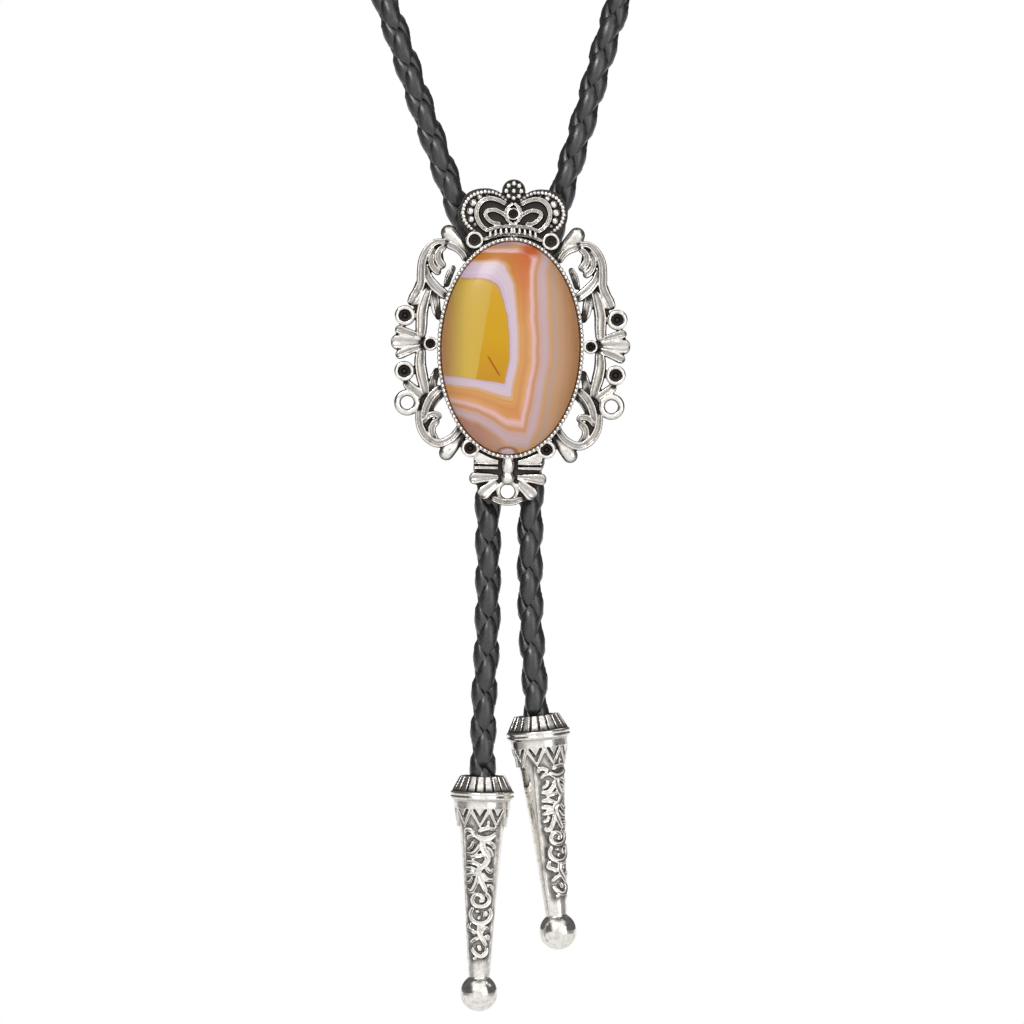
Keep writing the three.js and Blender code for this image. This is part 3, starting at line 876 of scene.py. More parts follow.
    @staticmethod
    def both_sides(half: tuple[Point2, ...]) -> list[Point2]:
        """A smooth outline whose left half mirrors the right one."""
        return smooth_line(list(half) + [(-x, y) for x, y in reversed(half) if x > 0], 4)

    def shade(self, height: float) -> float:
        """How bright a height can be: open ground is dark, as patina and painted shade."""
        return min(max((height - self.plate_top + 0.1) / 0.5, self.ground_shade), 1.0)

    def build(self) -> bpy.types.Object:
        """Models the right half, mirrors it, adds the middle and fuses all into one casting."""
        half = [ridge(stroke, self.profile) for stroke in SCROLLWORK.values()]
        half += [self.cup(*cup) for cup in self.cups]
        half += [self.ring(*self.side_ring), plate(smooth_line(FAN_OUTLINE, 4), 0.0, self.plate_top)]
        half += [self.drop(*drop) for drop in self.drops]
        half += [plate(smooth_line(outline, 4), 0.0, self.plate_top) for outline in UNDERLAYS]
        half.append(plate(list(BOW_WING), 0.0, Level.HIGH.value / MM))
        wider, higher, low = self.crown_edge
        rim = [(x * wider, y + higher * (y - low)) for x, y in SMALL_BEADS]
        half.append(ridge(Stroke(tuple(rim), (0.5, 0.55, 0.5), Level.LOW), self.profile))
        right = merge(half, "right_half")
        left = mirror_copy(right)
        fine = merge(self.crown_beads(), "crown_beads")
        fine_left = mirror_copy(fine)
        base, flower = self.flower()
        barrel = bead((0.0, 0.0), 0.0, 1.0)
        centre, stretch = self.barrel
        place = Matrix.Translation([part * MM for part in centre])
        barrel.data.transform(place @ Matrix.Diagonal((*stretch, 1)))
        middle = [plate(self.both_sides(CROWN_OUTLINE), 0.0, self.plate_top), self.bow_plate(), barrel,
                  bead(*self.bulb), self.ring(*self.bow_ring, Level.MIDDLE), self.cup(*self.crown_cup), *base]
        bezel, bezel_beads = self.bezel()
        parts = [right, left, *middle, *bezel]
        setting = cast_as_one(parts, "cast_setting", self.voxel * MM, self.most_faces)
        setting = merge([setting, fine, fine_left, *flower, *bezel_beads], "cast_setting")
        # Recesses darken below nearby crests: patina and painted shade
        mark_relief(setting, lambda spot: (spot.x / MM, spot.y / MM, min(spot.z / MM, self.highest)),
                    self.shade, self.patina_and_shade_depth)
        relief = setting.data.attributes["relief"]
        for index, vertex in enumerate(setting.data.vertices):
            if vertex.co.z < self.rear_skin * MM:
                relief.data[index].value = self.rear_shade
        smooth(setting)
        bpy.data.objects.remove(self.profile)
        to_slide(setting)
        return setting


@dataclass
class Agate:
    """The domed stone, with the level of its bands worked out over the surface."""

    half: Point2 = (13.8, 21.2)
    seat: float = 1.3
    girdle: float = 1.5
    dome: float = 4.4
    segments: int = 288
    rings: int = 128

    # Where the bands start beside the core, by height, in millimetres
    core_edge: tuple[Point2, ...] = (
        (-22.0, -4.4), (-18.8, -3.5), (-16.2, -2.5), (-12.0, -1.75), (-7.1, -1.0), (-2.7, -0.34),
        (0.5, -0.34), (4.6, -0.6), (9.6, -0.95), (12.0, -1.0), (15.0, -1.15), (17.0, -0.5), (18.6, 0.35),
        (20.0, 0.3), (22.0, -2.2))
    # How much wider the bands run below the core, by the distance to the right
    low_spread: tuple[Point2, ...] = ((-14.0, 0.92), (-11.8, 0.95), (-6.2, 1.09), (-2.7, 1.3), (-0.3, 1.54),
                                      (3.0, 1.56), (14.0, 1.62))
    # Band level over the core, by the height over the core's upper edge
    high_levels: tuple[Point2, ...] = (
        (-30.0, -16.0), (0.0, 0.0), (3.6, 1.9), (5.3, 4.6), (6.3, 5.6), (7.2, 6.3), (9.0, 8.2))
    # The core's right edge by height, its top edge by place, and its bottom edge's height and slope
    core_right: tuple[Point2, ...] = ((-8.5, -1.6), (-7.3, -1.3), (-2.7, -0.34), (-0.6, -0.4), (2.4, -0.6),
                                      (5.7, -1.0), (8.0, -1.5), (9.6, -2.05), (11.0, -2.8), (11.9, -3.5),
                                      (12.7, -4.5), (13.2, -5.7), (13.4, -8.0))
    core_upper: tuple[Point2, ...] = ((-13.8, 11.5), (-10.9, 12.7), (-8.3, 13.4), (-5.0, 13.2))
    core_bottom: tuple[float, float] = (-7.25, -0.12)
    # Where the bands turn above the core, how far they droop towards its left, and how round their corner is
    core_top: float = 13.6
    droop: tuple[float, float] = (6.0, 0.012)
    corner_round: float = 5.0

    @staticmethod
    def along(table: tuple[Point2, ...], at: float) -> float:
        """Reads a table of two columns at a value, with straight steps between its rows."""
        if at <= table[0][0]:
            return table[0][1]
        for (start, low), (end, high) in zip(table, table[1:]):
            if at <= end:
                return low + (high - low) * (at - start) / (end - start)
        return table[-1][1]

    def core_depth(self, x: float, y: float) -> float:
        """How far inside the core a place lies, in millimetres; below 0 outside it."""
        right = self.along(self.core_right, y) - x
        low = y - (self.core_bottom[0] + self.core_bottom[1] * x)
        high = self.along(self.core_upper, x) - y
        return min(right, low, high)

    def band_level(self, x: float, y: float) -> float:
        """How far out a place lies in the bands: below 0 in the core, and about 1 a millimetre beyond it.

        Args:
            x: distance to the right of the stone's middle, in millimetres.
            y: distance above it, in millimetres.

        Returns:
            The level.
        """
        right = x - self.along(self.core_edge, y)
        low = (self.core_bottom[0] + self.core_bottom[1] * x - y) / self.along(self.low_spread, x)
        start, amount = self.droop
        sink = amount * min(x + start, 0.0) ** 2
        high = self.along(self.high_levels, y - self.core_top - sink)
        near, far = min(right, high), max(right, high)
        blend = max(self.corner_round - (far - near), 0.0) / self.corner_round
        return max(far + 0.25 * blend * blend * self.corner_round, low)

    def build(self) -> bpy.types.Object:
        """Halves a ball, flattens it to the dome, draws its rim down to the girdle and marks the bands."""
        deselect()
        bpy.ops.mesh.primitive_uv_sphere_add(segments=self.segments, ring_count=self.rings, radius=1.0)
        stone = bpy.context.view_layer.objects.active
        stone.name = stone.data.name = "agate_stone"
        down = (0, 0, -self.girdle / self.dome)
        with editing(stone):
            bpy.ops.mesh.bisect(plane_co=(0, 0, 0), plane_no=(0, 0, 1), clear_inner=True, use_fill=False)
            select_open_edges()
            bpy.ops.mesh.extrude_region_move(TRANSFORM_OT_translate={"value": down})
            bpy.ops.mesh.fill()
        stone.scale = (self.half[0] * MM, self.half[1] * MM, self.dome * MM)
        stone.location.z = (self.seat + self.girdle) * MM
        settle(stone)
        tidy_mesh(stone, 0.0005 * MM)
        mark(stone, "band_level", lambda spot: self.band_level(spot.x / MM, spot.y / MM))
        mark(stone, "core_depth", lambda spot: self.core_depth(spot.x / MM, spot.y / MM))
        flat = stone.data.attributes.new("on_stone", "FLOAT_VECTOR", "POINT")
        for index, vertex in enumerate(stone.data.vertices):
            flat.data[index].vector = (vertex.co.x / MM, vertex.co.y / MM, vertex.co.z / MM)
        activate(stone)
        bpy.ops.object.shade_smooth_by_angle(angle=math.radians(40))
        to_slide(stone)
        return stone


# The radius and height of a tip's collar, flange and cuff, from the mouth down
COLLAR_SECTION: tuple[Point2, ...] = (
    (3.1, 0.0), (3.85, 0.0), (4.1, -0.15), (5.35, -2.9), (6.05, -2.95), (6.35, -3.15), (6.42, -3.4),
    (6.3, -3.68), (6.12, -3.8), (6.3, -3.92), (6.42, -4.15), (6.3, -4.5), (5.95, -4.65), (5.72, -4.75),
    (5.68, -6.35), (5.05, -6.45))


@dataclass
class Tip:
    """A cast cord end, drawn with the mouth of its socket at the origin and hanging down -Z."""

    bore: float = 2.95
    socket: float = 10.0
    flutes: int = 20
    # A flute's panel, from the mouth down, and its lower and upper face
    panel: tuple[Point2, ...] = ((-0.5, 0.0), (0.5, 0.0), (0.74, -3.15), (-0.74, -3.15))
    panel_faces: tuple[float, float] = (-0.3, 0.32)
    panel_slope: float = math.atan2(1.5, 2.8)
    panel_drop: float = 0.1
    collar_radius: float = 4.2
    collar_flare: float = 0.535
    collar_end: float = 3.0
    cuff_end: float = 6.4
    points: int = 9
    # The zigzag's upper and lower height, and how far it stands out
    zigzag: tuple[float, float, float] = (-6.5, -9.75, 0.95)
    wedge: tuple[Point2, ...] = ((-0.95, -6.2), (0.95, -6.2), (0.0, -7.9))
    cuff_radius: float = 5.7
    cuff_relief: float = 0.65
    cuff_length: float = 2.7
    cuff_middle: float = 6.6
    cone_top: float = 4.55
    cone_low: float = 2.15
    cone_start: float = 9.3
    cone_end: float = 40.6
    cone_waist: float = 0.18
    ball: float = 3.73
    leaf_height: float = 0.95
    leaf_root: float = 0.3
    # How far below nearby relief a place turns dark: patina and painted shade
    patina_and_shade_depth: float = 0.85
    voxel: float = 0.125
    most_faces: int = 150_000

    def cone_radius(self, down: float) -> float:
        """The cone's radius at a distance below the mouth, in millimetres."""
        share = (down - self.cone_start) / (self.cone_end - self.cone_start)
        straight = self.cone_top + (self.cone_low - self.cone_top) * share
        return straight - self.cone_waist * math.sin(math.pi * min(max(share, 0.0), 1.0))

    def body(self) -> bpy.types.Object:
        """The turned body with its open socket."""
        section = [(self.bore, -self.socket), (self.bore, -0.15), *COLLAR_SECTION]
        steps = 16
        for step in range(steps + 1):
            down = self.cone_start + (self.cone_end - self.cone_start) * step / steps
            section.append((self.cone_radius(down), -down))
        centre = self.cone_end + math.sqrt(self.ball ** 2 - self.cone_low ** 2)
        start = math.asin(self.cone_low / self.ball)
        ball_steps = 14
        for step in range(1, ball_steps):
            angle = start + (math.pi - start) * step / ball_steps
            section.append((self.ball * math.sin(angle), self.ball * math.cos(angle) - centre))
        section += [(0.0, -self.ball - centre), (0.0, -self.socket)]
        return turned(section, 72)

    def flute_ribs(self) -> list[bpy.types.Object]:
        """The bright panels round the collar, one for each flute."""
        first = plate(list(self.panel), *self.panel_faces)
        sine, cosine = math.sin(self.panel_slope), math.cos(self.panel_slope)
        for vertex in first.data.vertices:
            around, along, out = vertex.co.x, -vertex.co.y, vertex.co.z
            radius = self.collar_radius * MM + along * sine + out * cosine
            vertex.co = (around, -radius, out * sine - along * cosine - self.panel_drop * MM)
        ribs = []
        for index in range(self.flutes):
            rib = copy_of(first, "flute")
            rib.data.transform(Matrix.Rotation(2 * math.pi * index / self.flutes, 4, "Z"))
            ribs.append(rib)
        bpy.data.objects.remove(first)
        return ribs

    def wrapped(self, piece: bpy.types.Object, turn: float) -> bpy.types.Object:
        """Wraps a form drawn flat round the cone.

        Args:
            piece: the form, with x round the cone, y down it as a negative length and z outwards.
            turn: how far round the cone its middle lies, in radians.

        Returns:
            The same object.
        """
        for vertex in piece.data.vertices:
            around, down, out = vertex.co.x / MM, -vertex.co.y / MM, vertex.co.z / MM
            radius = self.ground(down) - self.leaf_root + out
            angle = around / self.ground(down) + turn
            vertex.co = (radius * math.sin(angle) * MM, -radius * math.cos(angle) * MM, -down * MM)
        return piece

    def ground(self, down: float) -> float:
        """The radius of the ground that relief stands on, in millimetres."""
        if down >= self.cone_start:
            return self.cone_radius(down)
        foot = self.cuff_radius - self.cuff_relief
        return self.cone_top + (foot - self.cone_top) * (self.cone_start - down) / self.cuff_length

    def build(self) -> bpy.types.Object:
        """Fuses body, flutes, cuff points and foliage into one casting."""
        profile = ridge_profile()
        parts = [self.body(), *self.flute_ribs()]
        upper, lower, relief = self.zigzag
        half = math.pi * self.ground(self.cuff_middle) / self.points
        edge = Stroke(((-half, upper), (0.0, lower), (half, upper)), (0.9, 1.0, 0.9), Level.LOW, True)
        for index in range(self.points):
            turn = 2 * math.pi * index / self.points
            tooth = ridge(edge, profile)
            tooth.data.transform(Matrix.Diagonal((1.0, 1.0, relief * MM / Level.LOW.value, 1.0)))
            wedge = plate(list(self.wedge), 0.0, relief)
            parts += [self.wrapped(tooth, turn), self.wrapped(wedge, turn)]
        for stroke in FOLIAGE:
            leaf = ridge(stroke, profile)
            leaf.data.transform(Matrix.Diagonal((1.0, 1.0, self.leaf_height * MM / Level.HIGH.value, 1.0)))
            parts.append(self.wrapped(leaf, 0.0))
        bpy.data.objects.remove(profile)
        tip = cast_as_one(parts, "tip_casting", self.voxel * MM, self.most_faces)
        # Recesses darken below nearby relief: patina and painted shade
        mark_relief(tip, self.flatten, lambda height: 1.0, self.patina_and_shade_depth)
        return tip

    def flatten(self, spot: Vector) -> tuple[float, float, float]:
        """A place's way round the tip, its way down it and its height over the ground, in millimetres."""
        down = -spot.z / MM
        radius = math.hypot(spot.x, spot.y) / MM
        around = math.atan2(spot.x, -spot.y) * min(radius, self.cuff_radius)
        if down < self.collar_end:
            return around, -down, radius - self.collar_radius - self.collar_flare * down
        if down < self.cuff_end:
            return around, -down, self.cuff_relief + (radius - self.cuff_radius) / 2
        return around, -down, 0.0 if down > self.cone_end else radius - self.ground(down)


# Foliage on a cord end: round the cone and down it, in millimetres
FOLIAGE: tuple[Stroke, ...] = (
    Stroke(((1.6, -8.6), (1.55, -9.3), (1.5, -10.0)), (0.56, 0.7, 0.56)),
    Stroke(((-0.4, -10.9), (0.6, -10.4), (1.6, -10.2), (3.1, -10.5)), (0.84, 0.98, 0.7)),
    Stroke(((-1.0, -11.6), (0.4, -12.3), (2.0, -12.1), (3.5, -11.1)), (0.98, 1.26, 0.84)),
    Stroke(((-3.2, -11.4), (-2.7, -10.6), (-0.9, -11.0)), (0.7, 0.98, 0.84)),
    Stroke(((-2.6, -12.6), (-2.0, -11.9), (-0.9, -11.7)), (0.63, 0.84, 0.7)),
    Stroke(((0.6, -12.4), (0.5, -13.5), (1.0, -15.2), (1.5, -16.2), (1.1, -17.3), (-0.2, -18.8),
            (0.0, -19.8)), (1.33, 1.33, 1.26)),
    Stroke(((-1.2, -12.9), (-1.6, -14.0), (-2.5, -14.6)), (0.7, 0.84, 0.56)),
    Stroke(((0.2, -13.2), (-0.5, -14.6), (-1.5, -15.4), (-2.7, -15.3)), (0.84, 1.05, 0.7)),
    Stroke(((1.3, -12.9), (2.5, -13.5), (3.1, -14.5)), (0.84, 1.05, 0.7)),
    Stroke(((1.0, -13.9), (2.0, -14.8), (2.6, -16.0)), (0.7, 0.98, 0.56)),
    Stroke(((-1.8, -16.2), (-0.6, -15.9), (0.8, -15.6)), (0.7, 0.98, 0.84)),
    Stroke(((-2.8, -17.0), (-1.3, -17.1), (0.3, -17.8)), (0.7, 1.12, 0.84)),
    Stroke(((-3.0, -18.3), (-1.7, -18.4), (-0.2, -18.9)), (0.7, 1.19, 0.98)),
    Stroke(((-2.7, -19.8), (-1.4, -19.5), (-0.2, -19.3)), (0.7, 1.05, 0.84)),
    Stroke(((1.1, -18.0), (1.9, -18.9), (2.9, -18.5)), (0.84, 1.12, 0.7)),
    Stroke(((0.4, -19.2), (1.4, -20.5), (2.8, -20.7)), (0.84, 1.19, 0.7)),
    Stroke(((0.0, -19.8), (0.6, -21.5), (1.3, -23.1)), (0.98, 1.12, 0.98)),
    Stroke(((-0.3, -19.9), (-0.8, -21.8), (-1.7, -23.0), (-2.5, -22.4)), (0.84, 1.05, 0.7)),
    Stroke(((-1.3, -20.2), (-1.9, -21.1), (-2.7, -21.2)), (0.63, 0.84, 0.56)),
    Stroke(((1.3, -21.6), (2.2, -21.9), (2.7, -22.9)), (0.7, 0.91, 0.56)),
    Stroke(((1.2, -23.2), (1.9, -24.3), (1.5, -25.5), (0.2, -26.0), (-0.95, -25.5), (-1.2, -24.4),
            (-0.6, -23.6), (0.4, -23.9), (0.6, -24.7), (-0.1, -25.0)), (0.91, 0.91, 0.84)),
    Stroke(((2.0, -26.3), (2.3, -27.4), (1.7, -28.8), (0.1, -29.4), (-1.2, -28.7), (-1.6, -27.4),
            (-1.2, -26.2)), (0.84, 0.98, 0.84)),
    Stroke(((-0.2, -26.7), (-0.3, -27.3)), (0.98, 0.98, 0.84)),
    Stroke(((-0.3, -28.1), (0.3, -28.3)), (0.98, 0.98, 0.84)),
    Stroke(((1.1, -26.8), (1.15, -27.5), (0.9, -28.1)), (0.84, 0.98, 0.7)),
    Stroke(((-1.7, -29.2), (-2.0, -30.4), (-1.1, -30.9), (-0.5, -31.6)), (0.7, 0.91, 0.84)),
    Stroke(((0.3, -31.5), (0.9, -30.3), (1.9, -30.3)), (0.84, 0.98, 0.7)),
    Stroke(((0.1, -29.5), (0.1, -31.2), (0.8, -32.8), (1.4, -34.0)), (0.98, 1.05, 0.84)),
    Stroke(((-1.6, -33.4), (-0.7, -32.6), (0.3, -32.2)), (0.7, 0.91, 0.7)),
    Stroke(((0.9, -32.4), (1.6, -32.0), (1.9, -32.9)), (0.7, 0.84, 0.56)),
    Stroke(((-1.4, -34.2), (-0.7, -35.3), (0.4, -36.0), (1.3, -35.3), (1.5, -34.2)), (0.7, 0.98, 0.84)),
    Stroke(((0.0, -33.7), (0.3, -35.0)), (0.77, 0.84, 0.7)),
    Stroke(((-0.9, -36.1), (-0.5, -36.8)), (0.84, 0.84, 0.7)),
    Stroke(((-3.75, -9.9), (-3.5, -18.0), (-3.1, -28.0), (-2.6, -37.2)), (0.56, 0.56, 0.56), Level.LOW),
    Stroke(((3.75, -9.9), (3.5, -18.0), (3.1, -28.0), (2.6, -37.2)), (0.56, 0.56, 0.56), Level.LOW),
)

# The cord's route from the middle of the stone, in millimetres, as in the CAD
LEFT_TAIL: tuple[Point3, ...] = ((-4.6, 4.3, -30), (-4.5, 4.3, -45), (-4.7, 4.3, -58), (-5.3, 4.3, -70))
RIGHT_TAIL: tuple[Point3, ...] = ((4.1, 4.3, -30), (3.9, 4.3, -45), (4.2, 4.3, -57), (4.8, 4.3, -66))
LEFT_NECK: tuple[Point3, ...] = (
    (-6.4, 4.3, 16), (-9.9, 4.3, 26.5), (-17.0, 4.4, 46.2), (-25.0, 5.8, 69.7), (-35.4, 11, 99),
    (-46.0, 20, 129), (-55.8, 34, 158), (-62.8, 54, 184), (-64.5, 79, 206), (-57.5, 105, 223),
    (-41.5, 127, 236), (-21.5, 140, 243.5))
NAPE: Point3 = (0, 144.5, 246)
RIGHT_NECK: tuple[Point3, ...] = (
    (21.5, 140, 243.5), (41.5, 127, 236), (57.5, 105, 223), (64.5, 79, 206), (62.0, 54, 184), (53.6, 34, 158),
    (42.9, 20, 129), (32.2, 11, 99), (21.6, 5.8, 69.7), (14.4, 4.4, 45), (9.4, 4.3, 28), (6.4, 4.3, 16))
TIP_PLACES: dict[str, tuple[Point2, float, float]] = {
    "tip_left": ((-5.6, -85.7), math.radians(1.0), math.radians(-4)),
    "tip_right": ((5.2, -73.5), math.radians(-5.7), math.radians(30)),
}


@dataclass
class Cord:
    """The braided leather cord, made in three runs that meet inside the clasp."""

    diameter: float = 5.2
    lay: float = 15.12
    strand_width: float = 4.7
    strand_thickness: float = 1.35
    over: float = 2.04
    under: float = 1.0
    slowing: float = 0.55
    step: float = 0.72
    channel: tuple[float, float, float] = (4.8, 3.0, 16.0)
    behind: float = 4.35
    socket: float = 9.7
    section_sides: int = 14
    facing: float = math.radians(12)
    edge_sag: float = 0.12
    least_bend: float = 1.3
    paths: dict[str, list[Point3]] = field(default_factory=dict)

    def channel_route(self, side: int) -> list[Point3]:
        """Points of the route inside the clasp, from its top down."""
        offset, top, length = self.channel
        turn = Matrix.Rotation(SLIDE_TILT, 2)
        spots = [turn @ Vector((side * offset, top - length * share)) for share in (0.0, 0.5, 1.0)]
        return [(spot.x, self.behind, spot.y) for spot in spots]

    def socket_route(self, name: str) -> list[Point3]:
        """Points of the route inside a tip's socket, from its mouth down."""
        (x, z), lean, _ = TIP_PLACES[name]
        depths = [self.socket * share for share in (0.0, 0.5, 1.0)]
        return [(x - depth * math.sin(lean), self.behind, z - depth * math.cos(lean)) for depth in depths]

    def route(self) -> list[Vector]:
        """The whole route's points, from the left tip round the neck to the right tip."""
        points = [*reversed(self.socket_route("tip_left")), *reversed(LEFT_TAIL),
                  *reversed(self.channel_route(-1)), *LEFT_NECK, NAPE, *RIGHT_NECK, *self.channel_route(1),
                  *RIGHT_TAIL, *self.socket_route("tip_right")]
        return [Vector(point) for point in points]

    def build(self) -> dict[str, bpy.types.Object]:
        """Braids the run round the neck and the two tails.

        Returns:
            The three pieces by name.
        """
        line = Line(self.route())
        left_end = line.length_at(self.meeting(-1))
        right_end = line.length_at(self.meeting(1))
        runs = {"cord_tail_left": (0.0, left_end), "cord_neck": (left_end, right_end),
                "cord_tail_right": (right_end, line.length)}
        made = {}
        for name, (start, end) in runs.items():
            strands = [self.strand(line, start, end, sign, phase)
                       for sign in (1, -1) for phase in (0.0, math.pi)]
            made[name] = merge(strands, name)
            smooth(made[name])
            log.info("%s: %.0f mm", name, end - start)
        self.paths = {name: line.between(start, end) for name, (start, end) in runs.items()}
        return made

    def meeting(self, side: int) -> Vector:
        """The place inside the clasp where a tail meets the run round the neck."""
        return Vector(self.channel_route(side)[1])

    def strand(self, line: "Line", start: float, end: float, sign: int, phase: float) -> bpy.types.Object:
        """Weaves one strand of a run.

        Args:
            line: the cord's middle line.
            start: where the run starts along it, in millimetres.
            end: where it ends.
            sign: 1 for a strand that turns to the right, -1 to the left.
            phase: the turn at which it starts, in radians.

        Returns:
            The strand's closed mesh.
        """
        deselect()
        steps = round((end - start) / self.step)
        bpy.ops.mesh.primitive_grid_add(x_subdivisions=self.section_sides, y_subdivisions=steps, size=1.0)
        strand = bpy.context.view_layer.objects.active
        grain = strand.data.attributes.new("grain", "FLOAT_VECTOR", "POINT")
        for index, vertex in enumerate(strand.data.vertices):
            around, along = (vertex.co.x + 0.5) * 2 * math.pi, start + (vertex.co.y + 0.5) * (end - start)
            grain.data[index].vector = (math.cos(around), along, sign + 2 * phase)
            vertex.co = self.spot(line, along, around, sign, phase) * MM + STONE_CENTRE
        with editing(strand):
            bpy.ops.mesh.remove_doubles(threshold=0.001 * MM)
            select_open_edges()
            bpy.ops.mesh.edge_face_add()
        face_outwards(strand)
        return strand

    def spot(self, line: "Line", along: float, around: float, sign: int, phase: float) -> Vector:
        """A place on a strand's surface.

        Args:
            line: the cord's middle line.
            along: how far along it, in millimetres.
            around: how far round the strand's own section, in radians.
            sign: the way in which the strand turns.
            phase: the turn at which it starts, in radians.

        Returns:
            The place from the middle of the stone, in millimetres.
        """
        turn = sign * 2 * math.pi * along / self.lay + phase
        turn -= sign * self.slowing / 2 * math.sin(2 * turn)
        radius = (self.over + self.under) / 2 + sign * (self.over - self.under) / 2 * math.cos(2 * turn)
        slope = math.atan2(2 * math.pi * radius, self.lay)
        side, up = math.cos(around), math.sin(around)
        across = self.strand_width / 2 * side
        out = self.strand_thickness / 2 * up - self.edge_sag * side * side
        angle = turn + self.facing + across * math.cos(slope) / max(radius, self.least_bend)
        axis, front, right = line.at(along - sign * across * math.sin(slope))
        return axis + (radius + out) * (front * math.cos(angle) + right * math.sin(angle))


class Line:
    """A smooth line through points, with its front and right directions at every place."""

    SPACING = 0.5
    PER_SPAN = 48
    PATH_STEP = 2

    def __init__(self, points: list[Vector]) -> None:
        """Draws the line.

        Args:
            points: the points that it passes through, in millimetres.
        """
        dense = self.curve(points)
        lengths = [0.0]
        for start, end in zip(dense, dense[1:]):
            lengths.append(lengths[-1] + (end - start).length)
        self.length = lengths[-1]
        count = round(self.length / self.SPACING)
        self.spacing = self.length / count
        self.points: list[Vector] = []
        span = 1
        for index in range(count + 1):
            goal = min(index * self.spacing, self.length)
            while lengths[span] < goal and span < len(lengths) - 1:
                span += 1
            share = (goal - lengths[span - 1]) / (lengths[span] - lengths[span - 1])
            self.points.append(dense[span - 1].lerp(dense[span], share))

    def curve(self, points: list[Vector]) -> list[Vector]:
        """Dense points of the centripetal curve through the given ones."""
        ends = [2 * points[0] - points[1], *points, 2 * points[-1] - points[-2]]
        dense = []
        for p0, p1, p2, p3 in zip(ends, ends[1:], ends[2:], ends[3:]):
            t1 = (p1 - p0).length ** 0.5
            t2 = t1 + (p2 - p1).length ** 0.5
            t3 = t2 + (p3 - p2).length ** 0.5
            for step in range(self.PER_SPAN):
                t = t1 + (t2 - t1) * step / self.PER_SPAN
                a1 = p0.lerp(p1, t / t1)
                a2 = p1.lerp(p2, (t - t1) / (t2 - t1))
                a3 = p2.lerp(p3, (t - t2) / (t3 - t2))
                b1, b2 = a1.lerp(a2, t / t2), a2.lerp(a3, (t - t1) / (t3 - t1))
                dense.append(b1.lerp(b2, (t - t1) / (t2 - t1)))
        return [*dense, points[-1]]

    def at(self, along: float) -> tuple[Vector, Vector, Vector]:
        """The line at a distance along it: its place, its front and its right."""
        share = along / self.spacing
        low = min(max(int(share), 0), len(self.points) - 2)
        place = self.points[low].lerp(self.points[low + 1], share - low)
        before, after = self.points[max(low - 2, 0)], self.points[min(low + 3, len(self.points) - 1)]
        tangent = (after - before).normalized()
        front = Vector((0.0, -1.0, 0.0))
        front = (front - front.dot(tangent) * tangent).normalized()
        return place, front, tangent.cross(front)

    def length_at(self, place: Vector) -> float:
        """How far along the line it passes nearest to a place, in millimetres."""
        nearest = min(range(len(self.points)), key=lambda index: (self.points[index] - place).length)
        return nearest * self.spacing

    def between(self, start: float, end: float) -> list[Point3]:
        """Points of the line between two distances, in metres and from the nape."""
        count = max(round((end - start) / self.PATH_STEP), 2)
        spots = [self.at(start + (end - start) * index / count)[0] for index in range(count + 1)]
        return [tuple(spot * MM + STONE_CENTRE) for spot in spots]


class Nodes:
    """A node tree that is built one node at a time."""

    def __init__(self, tree: bpy.types.NodeTree) -> None:
        """Empties the tree.

        Args:
            tree: the node tree of a material or world.
        """
        self.tree = tree
        tree.nodes.clear()

    def add(self, kind: str, inputs: dict[str, object] | None = None, **settings: object) -> bpy.types.Node:
        """Adds a node.

        Args:
            kind: the node's type.
            inputs: what its sockets get, by name or number: a value, or another node's socket.
            settings: its own values by name.

        Returns:
            The node.
        """
        node = self.tree.nodes.new(kind)
        for key, value in settings.items():
            setattr(node, key, value)
        for key, value in (inputs or {}).items():
            if isinstance(value, bpy.types.NodeSocket):
                self.tree.links.new(value, node.inputs[key])
            else:
                node.inputs[key].default_value = value
        return node

    def math(self, operation: str, *values: object) -> bpy.types.NodeSocket:
        """A sum of two or three values or sockets."""
        node = self.add("ShaderNodeMath", dict(enumerate(values)), operation=operation)
        return node.outputs[0]

    def span(self, value: bpy.types.NodeSocket, low: float, high: float, to_low: float = 0.0,
             to_high: float = 1.0) -> bpy.types.NodeSocket:
        """Carries a value from one span to another and holds it there."""
        places = {"Value": value, "From Min": low, "From Max": high, "To Min": to_low, "To Max": to_high}
        return self.add("ShaderNodeMapRange", places).outputs["Result"]

    def noise(self, place: bpy.types.NodeSocket, scale: float, detail: float = 3.0,
              roughness: float = 0.5) -> bpy.types.NodeSocket:
        """A noise value at a place."""
        values = {"Vector": place, "Scale": scale, "Detail": detail, "Roughness": roughness}
        return self.add("ShaderNodeTexNoise", values).outputs[0]

    def stretched(self, place: bpy.types.NodeSocket, scale: Point3) -> bpy.types.NodeSocket:
        """A place scaled by its axes."""
        return self.add("ShaderNodeMapping", {"Vector": place, "Scale": scale}).outputs[0]

    def blend(self, share: object, first: object, second: object) -> bpy.types.NodeSocket:
        """A mix of two colours."""
        node = self.add("ShaderNodeMix", data_type="RGBA")
        for socket, value in ((0, share), (6, first), (7, second)):
            if isinstance(value, bpy.types.NodeSocket):
                self.tree.links.new(value, node.inputs[socket])
            else:
                node.inputs[socket].default_value = value
        return node.outputs[2]

    def ramp(self, value: bpy.types.NodeSocket, stops: list[tuple[float, tuple]], kind: str = "LINEAR",
             ) -> bpy.types.NodeSocket:
        """A colour ramp with up to 32 stops, each a place between 0 and 1 and a colour."""
        node = self.add("ShaderNodeValToRGB", {0: value})
        node.color_ramp.interpolation = kind
        elements = node.color_ramp.elements
        for _ in range(len(stops) - 2):
            elements.new(0.5)
        for element, (place, colour) in zip(elements, stops):
            element.position = place
            element.color = colour
        return node.outputs[0]

    def bump(self, height: bpy.types.NodeSocket, strength: float, distance: float,
             under: bpy.types.NodeSocket | None = None) -> bpy.types.NodeSocket:
        """A normal from a height in metres."""
        values = {"Height": height, "Strength": strength, "Distance": distance}
        if under is not None:
            values["Normal"] = under
        return self.add("ShaderNodeBump", values).outputs[0]


